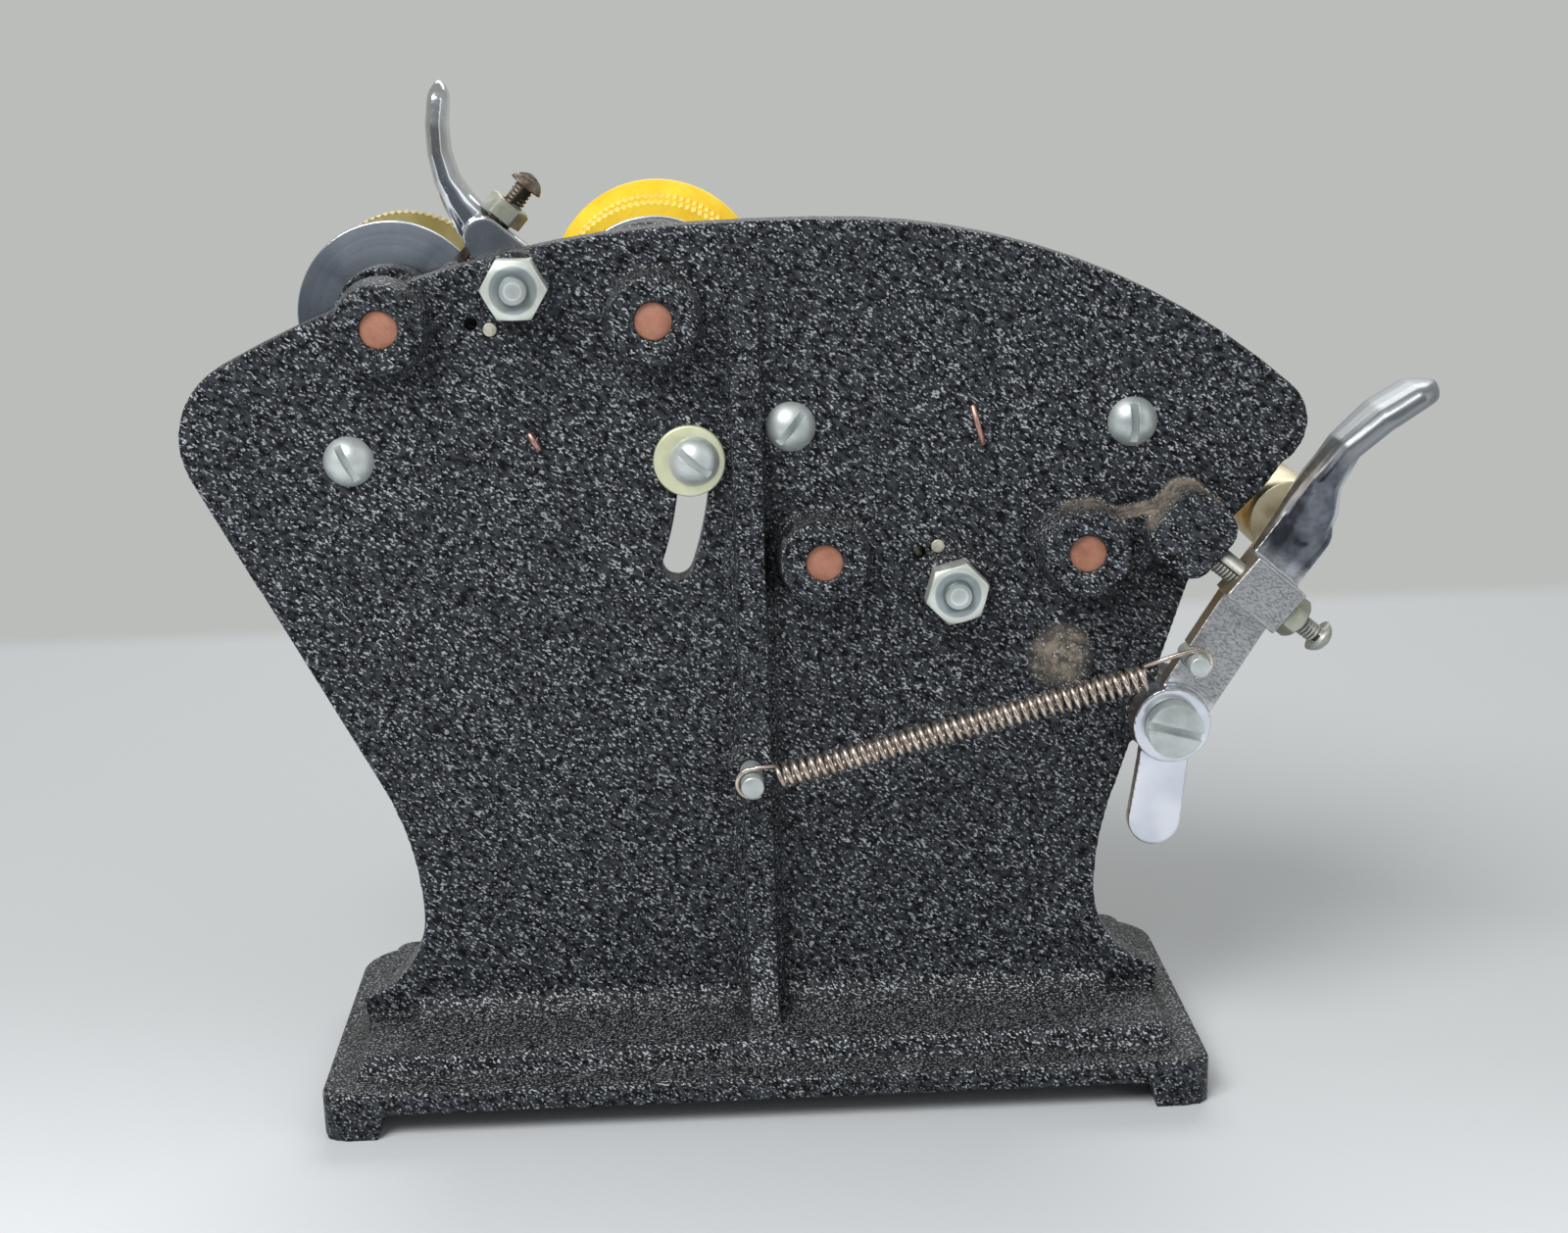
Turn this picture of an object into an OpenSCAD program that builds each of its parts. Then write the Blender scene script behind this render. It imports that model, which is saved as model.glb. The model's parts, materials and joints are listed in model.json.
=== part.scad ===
// Bench stand that feeds and guides a narrow strip past two pairs of wheels.
// A cast iron stand carries the wheels, the guide rails and three levers.
// +Z is up, +X runs along the plate, and the wheels stand on the +Y side of it.
// Sizes are in millimetres and angles in degrees.

/* [Plate] */
// Height of the plate's crown above the table
plate_top = 149; // [146:0.5:153]
// Thickness of the cast plate
plate_t = 6.5; // [5.5:0.1:7]
// Radius of the curved top edge
crown_r = 185; // [180:1:200]
// Length of the level stretch of the crown, right of the rib
crown_flat = 13; // [9:0.5:16]
// Radius of the crown beyond that stretch
right_crown_r = 118; // [112:1:126]
// Furthest reach of the left ear from the rib
left_reach = 93.3; // [90:0.1:96]
// Furthest reach of the right ear from the rib
right_reach = 94; // [92:0.1:96]
// Radius that rounds the left ear
left_ear_r = 14; // [11:0.5:15]
// Radius that rounds the right ear
right_ear_r = 8; // [7:0.5:10]
// Half of the plate's width at its waist
waist_half = 58.8; // [57:0.1:63]
// Radius of the sweep into the waist
waist_r = 54; // [48:1:60]
// Radius of the flare from the waist to the base
flare_r = 16; // [12:0.5:18]
// Lean of the left edge from the vertical
left_lean = 26.8; // [25:0.1:28]
// Width of the stiffening rib
rib_w = 5; // [3.5:0.1:6]
// How far the rib stands off the back face
rib_h = 4; // [3:0.1:5]

/* [Base] */
// Length of the base along the plate
base_w = 150.5; // [150:0.5:156]
// Depth of the base
base_d = 62.5; // [56:0.5:70]
// How far the base reaches out behind the plate
base_back = 22.5; // [20:0.5:24]
// Height of the feet
foot_h = 4.4; // [3.5:0.1:5]
// Width of a foot
foot_w = 9.4; // [7:0.1:9.8]
// Thickness of the lower flange
flange_t = 4; // [3:0.1:5]
// Height of the raised step above the flange
step_h = 3.8; // [3:0.1:5]
// How far the raised step is set in from the flange
step_in = 5; // [4:0.1:6.5]
// Radius of the base's far corners
base_r = 10; // [8:0.5:14]
// Radius of its near corners
near_r = 3.5; // [2:0.5:5]

/* [Stations] */
// Distance of the left station from the rib
station_left = 36.5; // [35:0.1:38]
// Distance of the right station from the rib
station_right = 34.3; // [33:0.1:36]
// Height of the left station's axles
station_high = 134; // [132:0.1:135]
// Height of the right station's axles
station_low = 93; // [91:0.1:95]
// Distance between the two axles of a station
axle_pitch = 44; // [43.5:0.1:45]
// Diameter of an axle
axle_d = 6.2; // [5.5:0.1:6.8]
// Radius of the boss that holds an axle
boss_r = 7.3; // [6.5:0.1:8]
// How far that boss stands off the back face
boss_h = 6; // [5:0.1:8]

/* [Wheels] */
// Radius of the polished flange of a metal wheel
flange_r = 15.8; // [14:0.1:16]
// Radius of the knurled brass disc
brass_r = 15.6; // [14:0.1:16]
// Radius of the drum between them
drum_r = 12.5; // [10:0.1:13]
// Length of the drum
drum_len = 19.5; // [15:0.5:22]
// Radius of the thin flange behind a yellow wheel
thin_flange_r = 15.3; // [14:0.1:15.8]
// Radius over the ribs of a yellow wheel
ribbed_r = 17; // [15.5:0.1:17.3]
// Radius of a yellow wheel's outer rim
rim_r = 19.2; // [17.6:0.1:19.4]
// Depth of the ribs
rib_depth = 0.45; // [0.3:0.05:0.7]
// Ribs round a yellow wheel
rib_count = 90; // [60:2:110]
// Knurls round a brass disc
knurl_count = 80; // [50:2:100]

/* [Thumb levers] */
// Offset of a lever's stud from the line of axles
stud_rise = 5.8; // [5:0.1:7]
// Diameter of a stud
stud_d = 4.8; // [4:0.1:5.5]
// Radius of a lever's hub
hub_r = 5.3; // [4.6:0.1:5.5]
// Thickness of a lever's arm
arm_t = 3.8; // [3:0.1:4]

/* [Guide rails] */
// Distance between a rail's two screws
rail_pitch = 57; // [55:0.1:58]
// Drop of a rail's screws from the line of axles
rail_drop = 22.2; // [22:0.1:24]
// How far a rail's shelf reaches out from the plate
shelf_d = 30; // [20:0.5:31]
// Thickness of a rail's shelf
shelf_t = 2; // [1.5:0.1:2.5]
// Tilt at which the left rail is clamped
rail_set = 1.7; // [0.5:0.1:3]
// Further tilt that its slot allows
rail_travel = 18; // [6:1:20]

/* [Side lever] */
// Distance of the lever's pivot from the rib
pivot_x = 70.2; // [69:0.1:72]
// Height of the lever's pivot
pivot_z = 63.6; // [61:0.1:65]
// Thickness of the lever's arm
side_t = 4; // [3:0.1:4.5]
// Width of the lever's arm
side_w = 9.6; // [8:0.1:11]
// Radius of the brass roller
roller_r = 7; // [5:0.1:7.5]
// Length of the brass roller
roller_len = 20; // [10:0.5:26]

/* [Springs] */
// Wire of the tension spring
wire_d = 0.7; // [0.5:0.05:0.8]
// Outer diameter of the tension spring
coil_d = 4.6; // [4:0.1:5]
// Turns of the tension spring
coil_turns = 44; // [30:1:44]
// Wire of a thumb lever's spring
torsion_wire = 0.7; // [0.5:0.05:0.8]
// Turns of a thumb lever's spring
torsion_turns = 2; // [1:1:2]

/* [Fasteners] */
// Width across the flats of the large nuts
nut_af = 9.5; // [8:0.1:10]
// Thickness of the large nuts
nut_t = 4.4; // [3:0.1:5]
// Radius of the slotted screw heads
head_r = 4.2; // [3.8:0.1:4.8]
// Height of the slotted screw heads
head_h = 2.8; // [2:0.1:3.2]
// Diameter of the rail screws
screw_d = 4.6; // [4:0.1:4.8]
// Diameter of the stop screws
stop_d = 3.4; // [3:0.1:3.5]
// Width across the flats of their lock nuts
stop_nut_af = 6.4; // [6:0.1:6.6]
// Diameter of the dowel pins
dowel_d = 2.3; // [2:0.1:2.5]

/* [Fits] */
// Gap round a turning shaft
run_gap = 0.05; // [0.03:0.01:0.08]
// Gap round a fixed pin or screw
fit_gap = 0.02; // [0.01:0.01:0.05]
// Gap between faces that move past each other
face_gap = 0.3; // [0.25:0.05:0.4]

/* [Hidden] */

$fn = 64;
step_fn = 32;
iron = "#222326";
steel = "#c9ccc8";
chrome = "#d9dce0";
bronze = "#b26a4e";
brass = "#c9a83f";
yellow = "#f2bd22";
spring_bronze = "#8b6f5c";

// Heights of the base's levels
flange_top = foot_h + flange_t;
ledge_z = flange_top + step_h;
ledge_r = 5;
pocket_wall = 8;
pocket_end_wall = 11;
pocket_roof = 3.6;
pocket_r = 2;
pocket_half = base_w / 2 - pocket_end_wall;
foot_d = pocket_wall;
foot_flare = 1;
step_draw = 1.6;
base_far = base_d - base_back;

// Stations: the second one is the first turned upside down
function station_x(s) = s == 1 ? -station_left : station_right;
function station_z(s) = s == 1 ? station_high : station_low;
function station_up(s) = s == 1 ? 1 : -1;
function station_of(n) = n <= 2 ? 1 : 2;
function is_metal(n) = n % 2 == 1;
function axle_x(n) = station_x(station_of(n)) + (is_metal(n) ? -1 : 1) * axle_pitch / 2;
function axle_z(n) = station_z(station_of(n));

// Depths of the wheels' pieces from the plate's back face
flange_y = 12;
metal_flange_t = 2.5;
thin_flange_t = 1.6;
brass_t = 5.5;
drum_y = flange_y + metal_flange_t;
brass_y = drum_y + drum_len;
yellow_y = flange_y + thin_flange_t;
rib_band_y = yellow_y + 5.8;
band_w = 9;
groove_w = 2;
second_band_y = rib_band_y + band_w + groove_w;
rim_y = second_band_y + band_w;
rim_taper = 3;
rim_w = 4;
yellow_end = rim_y + rim_taper + rim_w;
brass_end = brass_y + brass_t;
axle_bore_r = axle_d / 2 + run_gap;
axle_recess = 0.8;
washer_rim_t = 0.9;
drum_edge = 2;
drum_dip = 0.7;
wheel_hub_r = 8;
front_boss_small = 9;
front_boss_large = 15;
function wheel_end(n) = is_metal(n) ? brass_end : yellow_end;
function front_boss_r(n) = is_metal(n) ? front_boss_small : front_boss_large;
front_boss_y = flange_y - face_gap;

through = 80;
sunk = 0.5;
rib_start = 3;
rib_fade = 16;
rib_full = 34;
rib_flank = 1.2;
flank_full = 62;
flank_fade = 48;

// Thumb lever, in its own station and measured from the stud
arm_y = plate_t + face_gap;
arm_end = arm_y + arm_t;
sleeve_r = 3.9;
presser_y = flange_y + metal_flange_t + 0.5;
sleeve_end = presser_y + 4;
presser_hub_r = 5;
shoe_at = [3, -21];
shoe_r = 3;
finger_r = 2.6;
shoe_end = 31;
stop_root = [-5.4, 7.2];
stop_axis = [-0.665, -0.747];
stop_y = arm_y + stop_nut_af / 2;
stop_reach = 5.8;
stop_back = 10.6;
stop_head_r = 2.9;
stop_head_h = 2.2;
stop_nut_t = 3;
stop_pad_r = 2.3;
lug_r = 3.4;
horn_y = 12;
horn_line = [[-5.7, 7.2], [-7.4, 9.6], [-9.6, 13], [-11.3, 16.6],
             [-12.3, 21], [-12.4, 25.4], [-11.9, 29.6], [-11.5, 32.4]];
horn_half = [3.4, 3.2, 2.6, 2.1, 1.9, 1.85, 1.8, 1.2];
horn_depth = [4.6, 4.8, 5, 5.2, 5.2, 5, 4.2, 2.4];
coil_room = 0.5;
leg_spare = 1.5;
far_leg = 5;
function dowel_at(s) = s == 1 ? [-4.7, -7] : [-2.6, -6.8];
dowel_end = presser_y - face_gap;
function nut_turn(s) = s == 1 ? 1 : 14;
nut_boss_r = 5.8;
nut_boss_h = 2.8;
stud_proud = 1.2;
stud_front = 3;
collar_t = 2.4;
spare_hole_r = 0.8;
function spare_hole_at(s) = dowel_at(s) + [-3.1, 1];

// Guide rails, measured from the left screw
rail_near_left = 8.7;
rail_near_right = 7.4;
rail_right_drop = 1;
rail_head_turns = [118, 142, -49, 90];
rail_y = plate_t + face_gap;
rail_ear_r = 5;
rail_ear_t = 8;
rail_skin = 1.5;
web_t = 3;
web_low = -4;
shelf_top = -0.5;
shelf_in = 6;
function rail_x(s) = s == 1 ? -rail_near_left - rail_pitch : rail_near_right;
function rail_z(s) = station_z(s) - station_up(s) * rail_drop;
function rail_ends(s) = [[0, 0], [rail_pitch, s == 1 ? 0 : rail_right_drop]];
slot_w = screw_d + 0.5;
slot_spare = 0.6;
washer_r = 6;
washer_t = 1.2;

// Side lever, measured from its pivot
side_y = -3 - face_gap;
side_back = side_y - side_t;
ring_r = 6.6;
ring_back = side_back - 1.7;
shoulder_r = 3.2;
pivot_head_r = 4.7;
pivot_head_t = 3;
pivot_slot_turn = 15;
pivot_slot_depth = 1.2;
ear_boss_r = 7;
ear_boss_h = 3;
side_lug = [14.6, 22.8];
side_axis = [0.758, -0.652];
side_stop_y = side_back - 0.9;
side_stop_reach = 9.6;
side_stop_back = 9.4;
side_lug_w = 8.4;
side_lug_len = side_w + 1;
stop_gap = 0.05;
seat_gap = 0.05;
block_half = 6;
block_w = 13;
block_h = 10.5;
block_corner = 3.5;
block_arm_r = 4.6;
block_arm_h = 5;
post_at = [3.4, 11.5];
post_r = 1.75;
post_end = -14;
roller_at = [21.8, 32.2];
pin_r = 2;
pin_head = 1.6;
pin_head_t = 1.2;
tail_in = 1.2;
roller_y = 1.2;
tail_line = [[-0.8, -7.4], [-2.2, -17.8]];
tail_half = [4.2, 4.5];
blade_y = -5.4;
blade_line = [[15.6, 24.2], [18.6, 28.3], [21.4, 32.2], [23.4, 36.6], [24.8, 40.6],
              [28.4, 46.3], [34, 51.2], [39.6, 54.6], [42.6, 55.5]];
blade_half = [4.6, 5, 5.2, 4.7, 3.4, 2.2, 1.7, 1.5, 1];
blade_depth = [2.2, 2.2, 2.3, 2.9, 3.8, 4.8, 5.5, 5.4, 3.4];

// Small cast lug
lug_at = [54, 73.4];
lug_face_r = 3.4;
lug_h = 3.4;
lug_leg = 5.5;

// Posts and wires
rib_post_z = 57;
rib_post_x = -1;
rib_post_r = 1.95;
rib_post_end = -14;
post_boss_r = 4;
hook_y = -11.4;
copper_r = 0.33;
function wire_at(s) = s == 1 ? [2.2, -21.1] : [5, -18.4];
function wire_tail(s) = s == 1 ? [1.4, -2.6] : [1.7, 6.4];

// The whole stands on its footprint's middle
tip_x = pivot_x + blade_line[8][0] + blade_half[8] * unit(blade_line[8] - blade_line[7])[1];
centre_x = (tip_x - left_reach) / 2;
centre_y = (yellow_end + face_gap + head_h - base_back) / 2;

module place() translate([-centre_x, -centre_y, 0]) children();

// A flat outline drawn in X and Z, standing from y0 to y1
module slab_y(y0, y1)
    translate([0, y1, 0])
        rotate([90, 0, 0])
            linear_extrude(y1 - y0)
                children();

module rod_y(x, z, r, y0, y1)
    translate([x, y0, z])
        rotate([-90, 0, 0])
            cylinder(r = r, h = y1 - y0);

// A bore that runs through everything in its way
module bore_y(x, z, r) rod_y(x, z, r, -through, through);

module cone_y(x, z, r0, r1, y0, y1)
    translate([x, y0, z])
        rotate([-90, 0, 0])
            cylinder(r1 = r0, r2 = r1, h = y1 - y0);

// Everything of a station, drawn the right way up round the stud
module at_stud(s)
    translate([station_x(s), 0, station_z(s)])
        mirror([0, 0, s == 2 ? 1 : 0])
            translate([0, 0, stud_rise])
                children();

function arc(c, r, a0, a1, n) =
    [for (i = [0:n]) let (a = a0 + (a1 - a0) * i / n) c + r * [cos(a), sin(a)]];

function unit(v) = v / norm(v);

// ---- sweeps ----

// Joins rings of equal counts into one closed skin
module skin(rings) {
    n = len(rings[0]);
    m = len(rings);
    points = [for (ring = rings) each ring];
    sides = [for (i = [0:m - 2], j = [0:n - 1])
             let (k = (j + 1) % n)
             each [[i * n + j, i * n + k, (i + 1) * n + k],
                   [i * n + j, (i + 1) * n + k, (i + 1) * n + j]]];
    start = [for (j = [1:n - 2]) [0, j + 1, j]];
    end = [for (j = [1:n - 2]) let (b = (m - 1) * n) [b, b + j, b + j + 1]];
    polyhedron(points = points, faces = concat(start, sides, end), convexity = 10);
}

// A blade along a line in X and Z, with an oval section that widens in Y
function blade_rings(line, half, depth, y) =
    let (n = 14)
    [for (i = [0:len(line) - 1])
        let (a = line[max(i - 1, 0)],
             b = line[min(i + 1, len(line) - 1)],
             t = unit(b - a),
             u = [-t[1], t[0]])
        [for (j = [0:n - 1])
            let (q = 360 * j / n,
                 c = cos(q),
                 s = sin(q),
                 w = half[i] * sign(c) * pow(abs(c), 0.7),
                 d = depth[i] * sign(s) * pow(abs(s), 0.7))
            [line[i][0] + u[0] * w, y + d, line[i][1] + u[1] * w]]];

// A wire along points, with a frame carried from ring to ring
function tangents(p) =
    [for (i = [0:len(p) - 1]) unit(p[min(i + 1, len(p) - 1)] - p[max(i - 1, 0)])];

function carried(t, first) =
    [for (i = 0, n = unit(first - (first * t[0]) * t[0]);
          i < len(t);
          i = i + 1, n = i < len(t) ? unit(n - (n * t[i]) * t[i]) : n) n];

function wire_rings(p, r, first, sides) =
    let (t = tangents(p), n = carried(t, first))
    [for (i = [0:len(p) - 1])
        let (b = cross(t[i], n[i]))
        [for (j = [0:sides - 1])
            let (q = 360 * j / sides)
            p[i] + r * (cos(q) * n[i] + sin(q) * b)]];

module wire(p, r, first, sides = 6) skin(wire_rings(p, r, first, sides));

// ---- stand ----

// Middle of an ear that rounds off a crown arc of radius top_r
function ear_middle(reach, r, top_r) =
    [reach - r, plate_top - top_r + sqrt(pow(top_r - r, 2) - pow(reach - r, 2))];

left_ear = ear_middle(left_reach, left_ear_r, crown_r);
right_ear = ear_middle(right_reach - crown_flat, right_ear_r, right_crown_r);
left_crown_end = atan2(left_ear[1] - plate_top + crown_r, -left_ear[0]);
right_crown_end = atan2(right_ear[1] - plate_top + right_crown_r, right_ear[0]);
right_lean = 17.5;
flare_top = 31;
flare_from = 190;
flare_to = 255;
flare_foot = waist_half + flare_r * 0.7;

function crown_line() =
    concat(arc([crown_flat, plate_top - right_crown_r], right_crown_r, right_crown_end, 90, 12),
           arc([0, plate_top - crown_r], crown_r, 90, left_crown_end, 12));

function left_edge() =
    let (ear = [-left_ear[0], left_ear[1]],
         out = [-cos(left_lean), -sin(left_lean)],
         line = out * ear + left_ear_r,
         sweep_x = -(waist_half + waist_r),
         sweep = [sweep_x, (line + waist_r - out[0] * sweep_x) / out[1]])
    concat(arc(ear, left_ear_r, left_crown_end, 180 + left_lean, 10),
           arc(sweep, waist_r, left_lean, 0, 6),
           arc([-waist_half - flare_r, sweep[1]], flare_r, 180 - flare_from, 180 - flare_to, 6),
           [[-flare_foot, ledge_z]]);

// The right edge is cut back below its ear to clear the side lever
ear_turn = -60;
cut_back = [[0.8, -11.4], [-3.6, -15.6], [-8, -21], [-11.6, -27]];

function right_edge() =
    let (ear = [crown_flat + right_ear[0], right_ear[1]],
         foot = [waist_half, flare_top])
    concat(arc(ear, right_ear_r, right_crown_end, ear_turn, 10),
           [for (c = cut_back) ear + c],
           arc(foot + [waist_r, 0], waist_r, 180 - right_lean, 180, 6),
           arc(foot + [flare_r, 0], flare_r, flare_from, flare_to, 6),
           [[flare_foot, ledge_z]]);

function reversed(p) = [for (i = [len(p) - 1:-1:0]) p[i]];

module plate_outline()
    polygon(concat(crown_line(), left_edge(), reversed(right_edge())));

module rounded(w, d, r) {
    square([w - 2 * r, d], center = true);
    square([w, d - 2 * r], center = true);
    for (x = [-1, 1], y = [-1, 1])
        translate([x * (w / 2 - r), y * (d / 2 - r)])
            circle(r);
}

module base_outline()
    hull()
        for (x = [-1, 1]) {
            translate([x * (base_w / 2 - near_r), near_r - base_back])
                circle(near_r);
            translate([x * (base_w / 2 - base_r), base_far - base_r])
                circle(base_r);
        }

// Foot under a corner, whose inner side slopes out into the flange
module foot(side, y)
    mirror([side < 0 ? 1 : 0, 0, 0])
        translate([base_w / 2, y, 0])
            slab_y(0, foot_d)
                polygon([[sunk, 0], [-foot_w, 0], [-foot_w - foot_flare, foot_h + sunk],
                         [sunk, foot_h + sunk]]);

// Block under each end of the plate, beside the pocket
module plate_end()
    translate([pocket_half + sunk, 0, flange_top - sunk])
        cube([flare_foot - pocket_half - sunk, plate_t, ledge_z - flange_top + sunk]);

// Toe of the rib, down the step's slope
function toe_side() =
    let (inner = base_back - pocket_wall + 0.3)
    [[inner, flange_top - sunk], [inner, ledge_z - 0.3],
     [base_back - step_in + 0.6, flange_top + 0.4], [base_back - 2, flange_top - sunk]];

module stand_base() color(iron) place()
    difference() {
        union() {
            translate([0, 0, foot_h])
                linear_extrude(flange_t)
                    base_outline();
            hull()
                for (k = [0, 1])
                    translate([0, 0, flange_top - 1 + k * (step_h + 0.9)])
                        linear_extrude(0.1)
                            offset(-step_in - k * step_draw)
                                base_outline($fn = step_fn);
            intersection() {
                linear_extrude(foot_h + sunk)
                    base_outline();
                for (side = [-1, 1], y = [-base_back, base_far - foot_d])
                    foot(side, y);
            }
            for (side = [0, 1])
                mirror([side, 0, 0])
                    plate_end();
            rib_slab(rib_w)
                polygon(toe_side());
        }
        translate([0, (base_far - base_back) / 2, foot_h - 1])
            linear_extrude(ledge_z - pocket_roof - foot_h + 1)
                rounded(2 * pocket_half, base_d - 2 * pocket_wall, pocket_r);
    }

// Concave blend between the base's ledge and a face of the plate
module ledge_fillet(y, side) {
    profile = concat([[-sunk, 0], [-sunk, ledge_r]],
                     arc([ledge_r, ledge_r], ledge_r, 180, 270, 6));
    translate([waist_half + 2, y, ledge_z])
        rotate([90, 0, -90])
            linear_extrude(2 * waist_half + 4)
                scale([side, 1])
                    polygon(profile);
}

// Side view of the rib: distance out from the back face, then height
function rib_side() =
    let (toe = base_back - step_in)
    [[sunk, plate_top - 1], [0, plate_top - rib_start], [rib_h * 0.4, plate_top - rib_fade],
     [rib_h, plate_top - rib_full], [rib_h, ledge_z + 14], [rib_h + 2.4, ledge_z + 6],
     [rib_h + 6, ledge_z + 1], [toe - 1.8, ledge_z],
     [-sunk, ledge_z], [-sunk, plate_top - 1]];

// Low flanks that lead from the back face up to the rib
function flank_side() =
    let (low = rib_h * 0.4)
    [[-sunk, ledge_z], [2 * low, ledge_z], [low, ledge_z + 12],
     [low, plate_top - flank_full], [0, plate_top - flank_fade], [-sunk, plate_top - flank_fade]];

module rib_slab(w)
    translate([w / 2, 0, 0])
        rotate([90, 0, -90])
            linear_extrude(w)
                children();

module rib() {
    rib_slab(rib_w)
        polygon(rib_side());
    rib_slab(rib_w + 2 * rib_flank)
        polygon(flank_side());
}

module back_boss(n) {
    cone_y(axle_x(n), axle_z(n), boss_r, boss_r + 0.9, -boss_h, 0.5);
    rod_y(axle_x(n), axle_z(n), front_boss_r(n), plate_t - 0.5, front_boss_y);
}

// Rounded block that the side lever's stop screw bears on, with an arm to the nearest boss
module stop_block() {
    face = [pivot_x, pivot_z] + side_lug - (side_stop_reach + stop_gap) * side_axis;
    middle = face - block_half * side_axis;
    translate([middle[0], 0, middle[1]])
        rotate([0, atan2(-side_axis[1], side_axis[0]), 0])
            slab_y(-block_h, plate_t)
                rounded(2 * block_half, block_w, block_corner);
    slab_y(-block_arm_h, sunk)
        hull() {
            translate([axle_x(4), axle_z(4)])
                circle(block_arm_r);
            translate(middle)
                circle(block_arm_r);
        }
}

// Outline of an arc slot with round ends, from angle a0 down to a1
function slot_ring(r, half, a0, a1, n = 12) =
    let (end = 180 / n)
    concat(arc([0, 0], r + half, a0, a1, n),
           arc(r * [cos(a1), sin(a1)], half, a1 - end, a1 - 180 + end, n - 2),
           arc([0, 0], r - half, a1, a0, n),
           arc(r * [cos(a0), sin(a0)], half, a0 + 180 - end, a0 + end, n - 2));

module slot_cut()
    translate([rail_x(1), 0, rail_z(1)])
        slab_y(-through, through)
            polygon(slot_ring(rail_pitch, slot_w / 2, slot_spare - rail_set,
                              -rail_set - rail_travel - slot_spare));

// The upright and the base are one casting, kept as two nodes that meet at the ledge
module stand_casting() color(iron) place()
    difference() {
        union() {
            slab_y(0, plate_t) plate_outline();
            ledge_fillet(0, 1);
            ledge_fillet(plate_t, -1);
            rib();
            for (n = [1:4])
                back_boss(n);
            for (s = [1, 2])
                at_stud(s) {
                    rod_y(0, 0, nut_boss_r, -nut_boss_h, 1);
                    stop_pad();
                }
            rod_y(rib_post_x, rib_post_z, post_boss_r, -rib_h - 1.2, 1);
            rod_y(pivot_x, pivot_z, ear_boss_r, -ear_boss_h, plate_t);
            stop_block();
            cast_lug();
        }
        for (n = [1:4])
            bore_y(axle_x(n), axle_z(n), axle_d / 2 + fit_gap);
        for (s = [1, 2])
            at_stud(s) {
                bore_y(0, 0, stud_d / 2 + fit_gap);
                bore_y(dowel_at(s)[0], dowel_at(s)[1], dowel_d / 2 + fit_gap);
                bore_y(spare_hole_at(s)[0], spare_hole_at(s)[1], spare_hole_r);
                bore_y(wire_at(s)[0], wire_at(s)[1] - stud_rise, copper_r + fit_gap);
            }
        for (s = [1, 2])
            bore_y(rail_x(s), rail_z(s), screw_d / 2 + fit_gap);
        bore_y(rail_x(2) + rail_pitch, rail_z(2) - rail_right_drop, screw_d / 2 + fit_gap);
        slot_cut();
        rod_y(rib_post_x, rib_post_z, rib_post_r + fit_gap, -20, plate_t - 1);
        bore_y(pivot_x, pivot_z, stud_d / 2 + fit_gap);
    }

// Pad on the plate's front that a thumb lever's stop screw bears on
module stop_pad() {
    tip = stop_root + stop_reach * stop_axis;
    pad = tip + (stop_pad_r + stop_gap) * stop_axis;
    rod_y(pad[0], pad[1], stop_pad_r, plate_t - 1, flange_y - face_gap);
}

module cast_lug() {
    cone_y(lug_at[0], lug_at[1], lug_face_r, lug_face_r + 0.8, -lug_h, 0.4);
    slab_y(-lug_h, sunk)
        translate(lug_at - [lug_face_r, lug_leg])
            square([2 * lug_face_r, lug_leg]);
}

// ---- fasteners ----

module hex(af, y0, y1, turn)
    intersection() {
        translate([0, y0, 0])
            rotate([-90, turn, 0])
                cylinder(r = af / 2 / cos(30), h = y1 - y0, $fn = 6);
        union() {
            cone_y(0, 0, af / 2 * 0.98, af / 2 / cos(30) + 0.05, y0, y0 + af * 0.07);
            rod_y(0, 0, af / 2 / cos(30) + 0.05, y0 + af * 0.07, y1);
        }
    }

// Slotted round head from the face at y back towards -Y
module round_head(r, h, y, turn) {
    dome = (r * r + h * h) / (2 * h);
    translate([0, y, 0])
        rotate([90, 0, 0])
            difference() {
                intersection() {
                    translate([0, 0, h - dome])
                        sphere(dome);
                    cylinder(r = r, h = h + 1);
                }
                rotate([0, 0, turn])
                    translate([0, 0, h])
                        cube([2.2 * r, r * 0.3, h], center = true);
            }
}

module slotted_screw(r_head, h_head, r, y_head, y_end, turn) {
    round_head(r_head, h_head, y_head, turn);
    rod_y(0, 0, r, y_head - 0.4, y_end);
}

// ---- axles and wheels ----

module axle(n) color(bronze) place()
    rod_y(axle_x(n), axle_z(n), axle_d / 2, -boss_h + axle_recess, wheel_end(n) + face_gap);

module axle_screw(n) color(steel) place()
    translate([axle_x(n), wheel_end(n) + face_gap, axle_z(n)])
        mirror([0, 1, 0]) {
            round_head(head_r, head_h - washer_rim_t, -washer_rim_t, 25 * n);
            rod_y(0, 0, head_r + 1, -washer_rim_t - 0.1, 0);
        }

module metal_flange(n) color(chrome) place()
    difference() {
        union() {
            rod_y(axle_x(n), axle_z(n), flange_r, flange_y, flange_y + metal_flange_t - 0.6);
            cone_y(axle_x(n), axle_z(n), flange_r, flange_r - 0.6,
                   flange_y + metal_flange_t - 0.6, flange_y + metal_flange_t);
        }
        bore_y(axle_x(n), axle_z(n), axle_bore_r);
    }

module thin_flange(n) color(chrome) place()
    difference() {
        rod_y(axle_x(n), axle_z(n), thin_flange_r, flange_y, flange_y + thin_flange_t);
        bore_y(axle_x(n), axle_z(n), axle_bore_r);
    }

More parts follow.
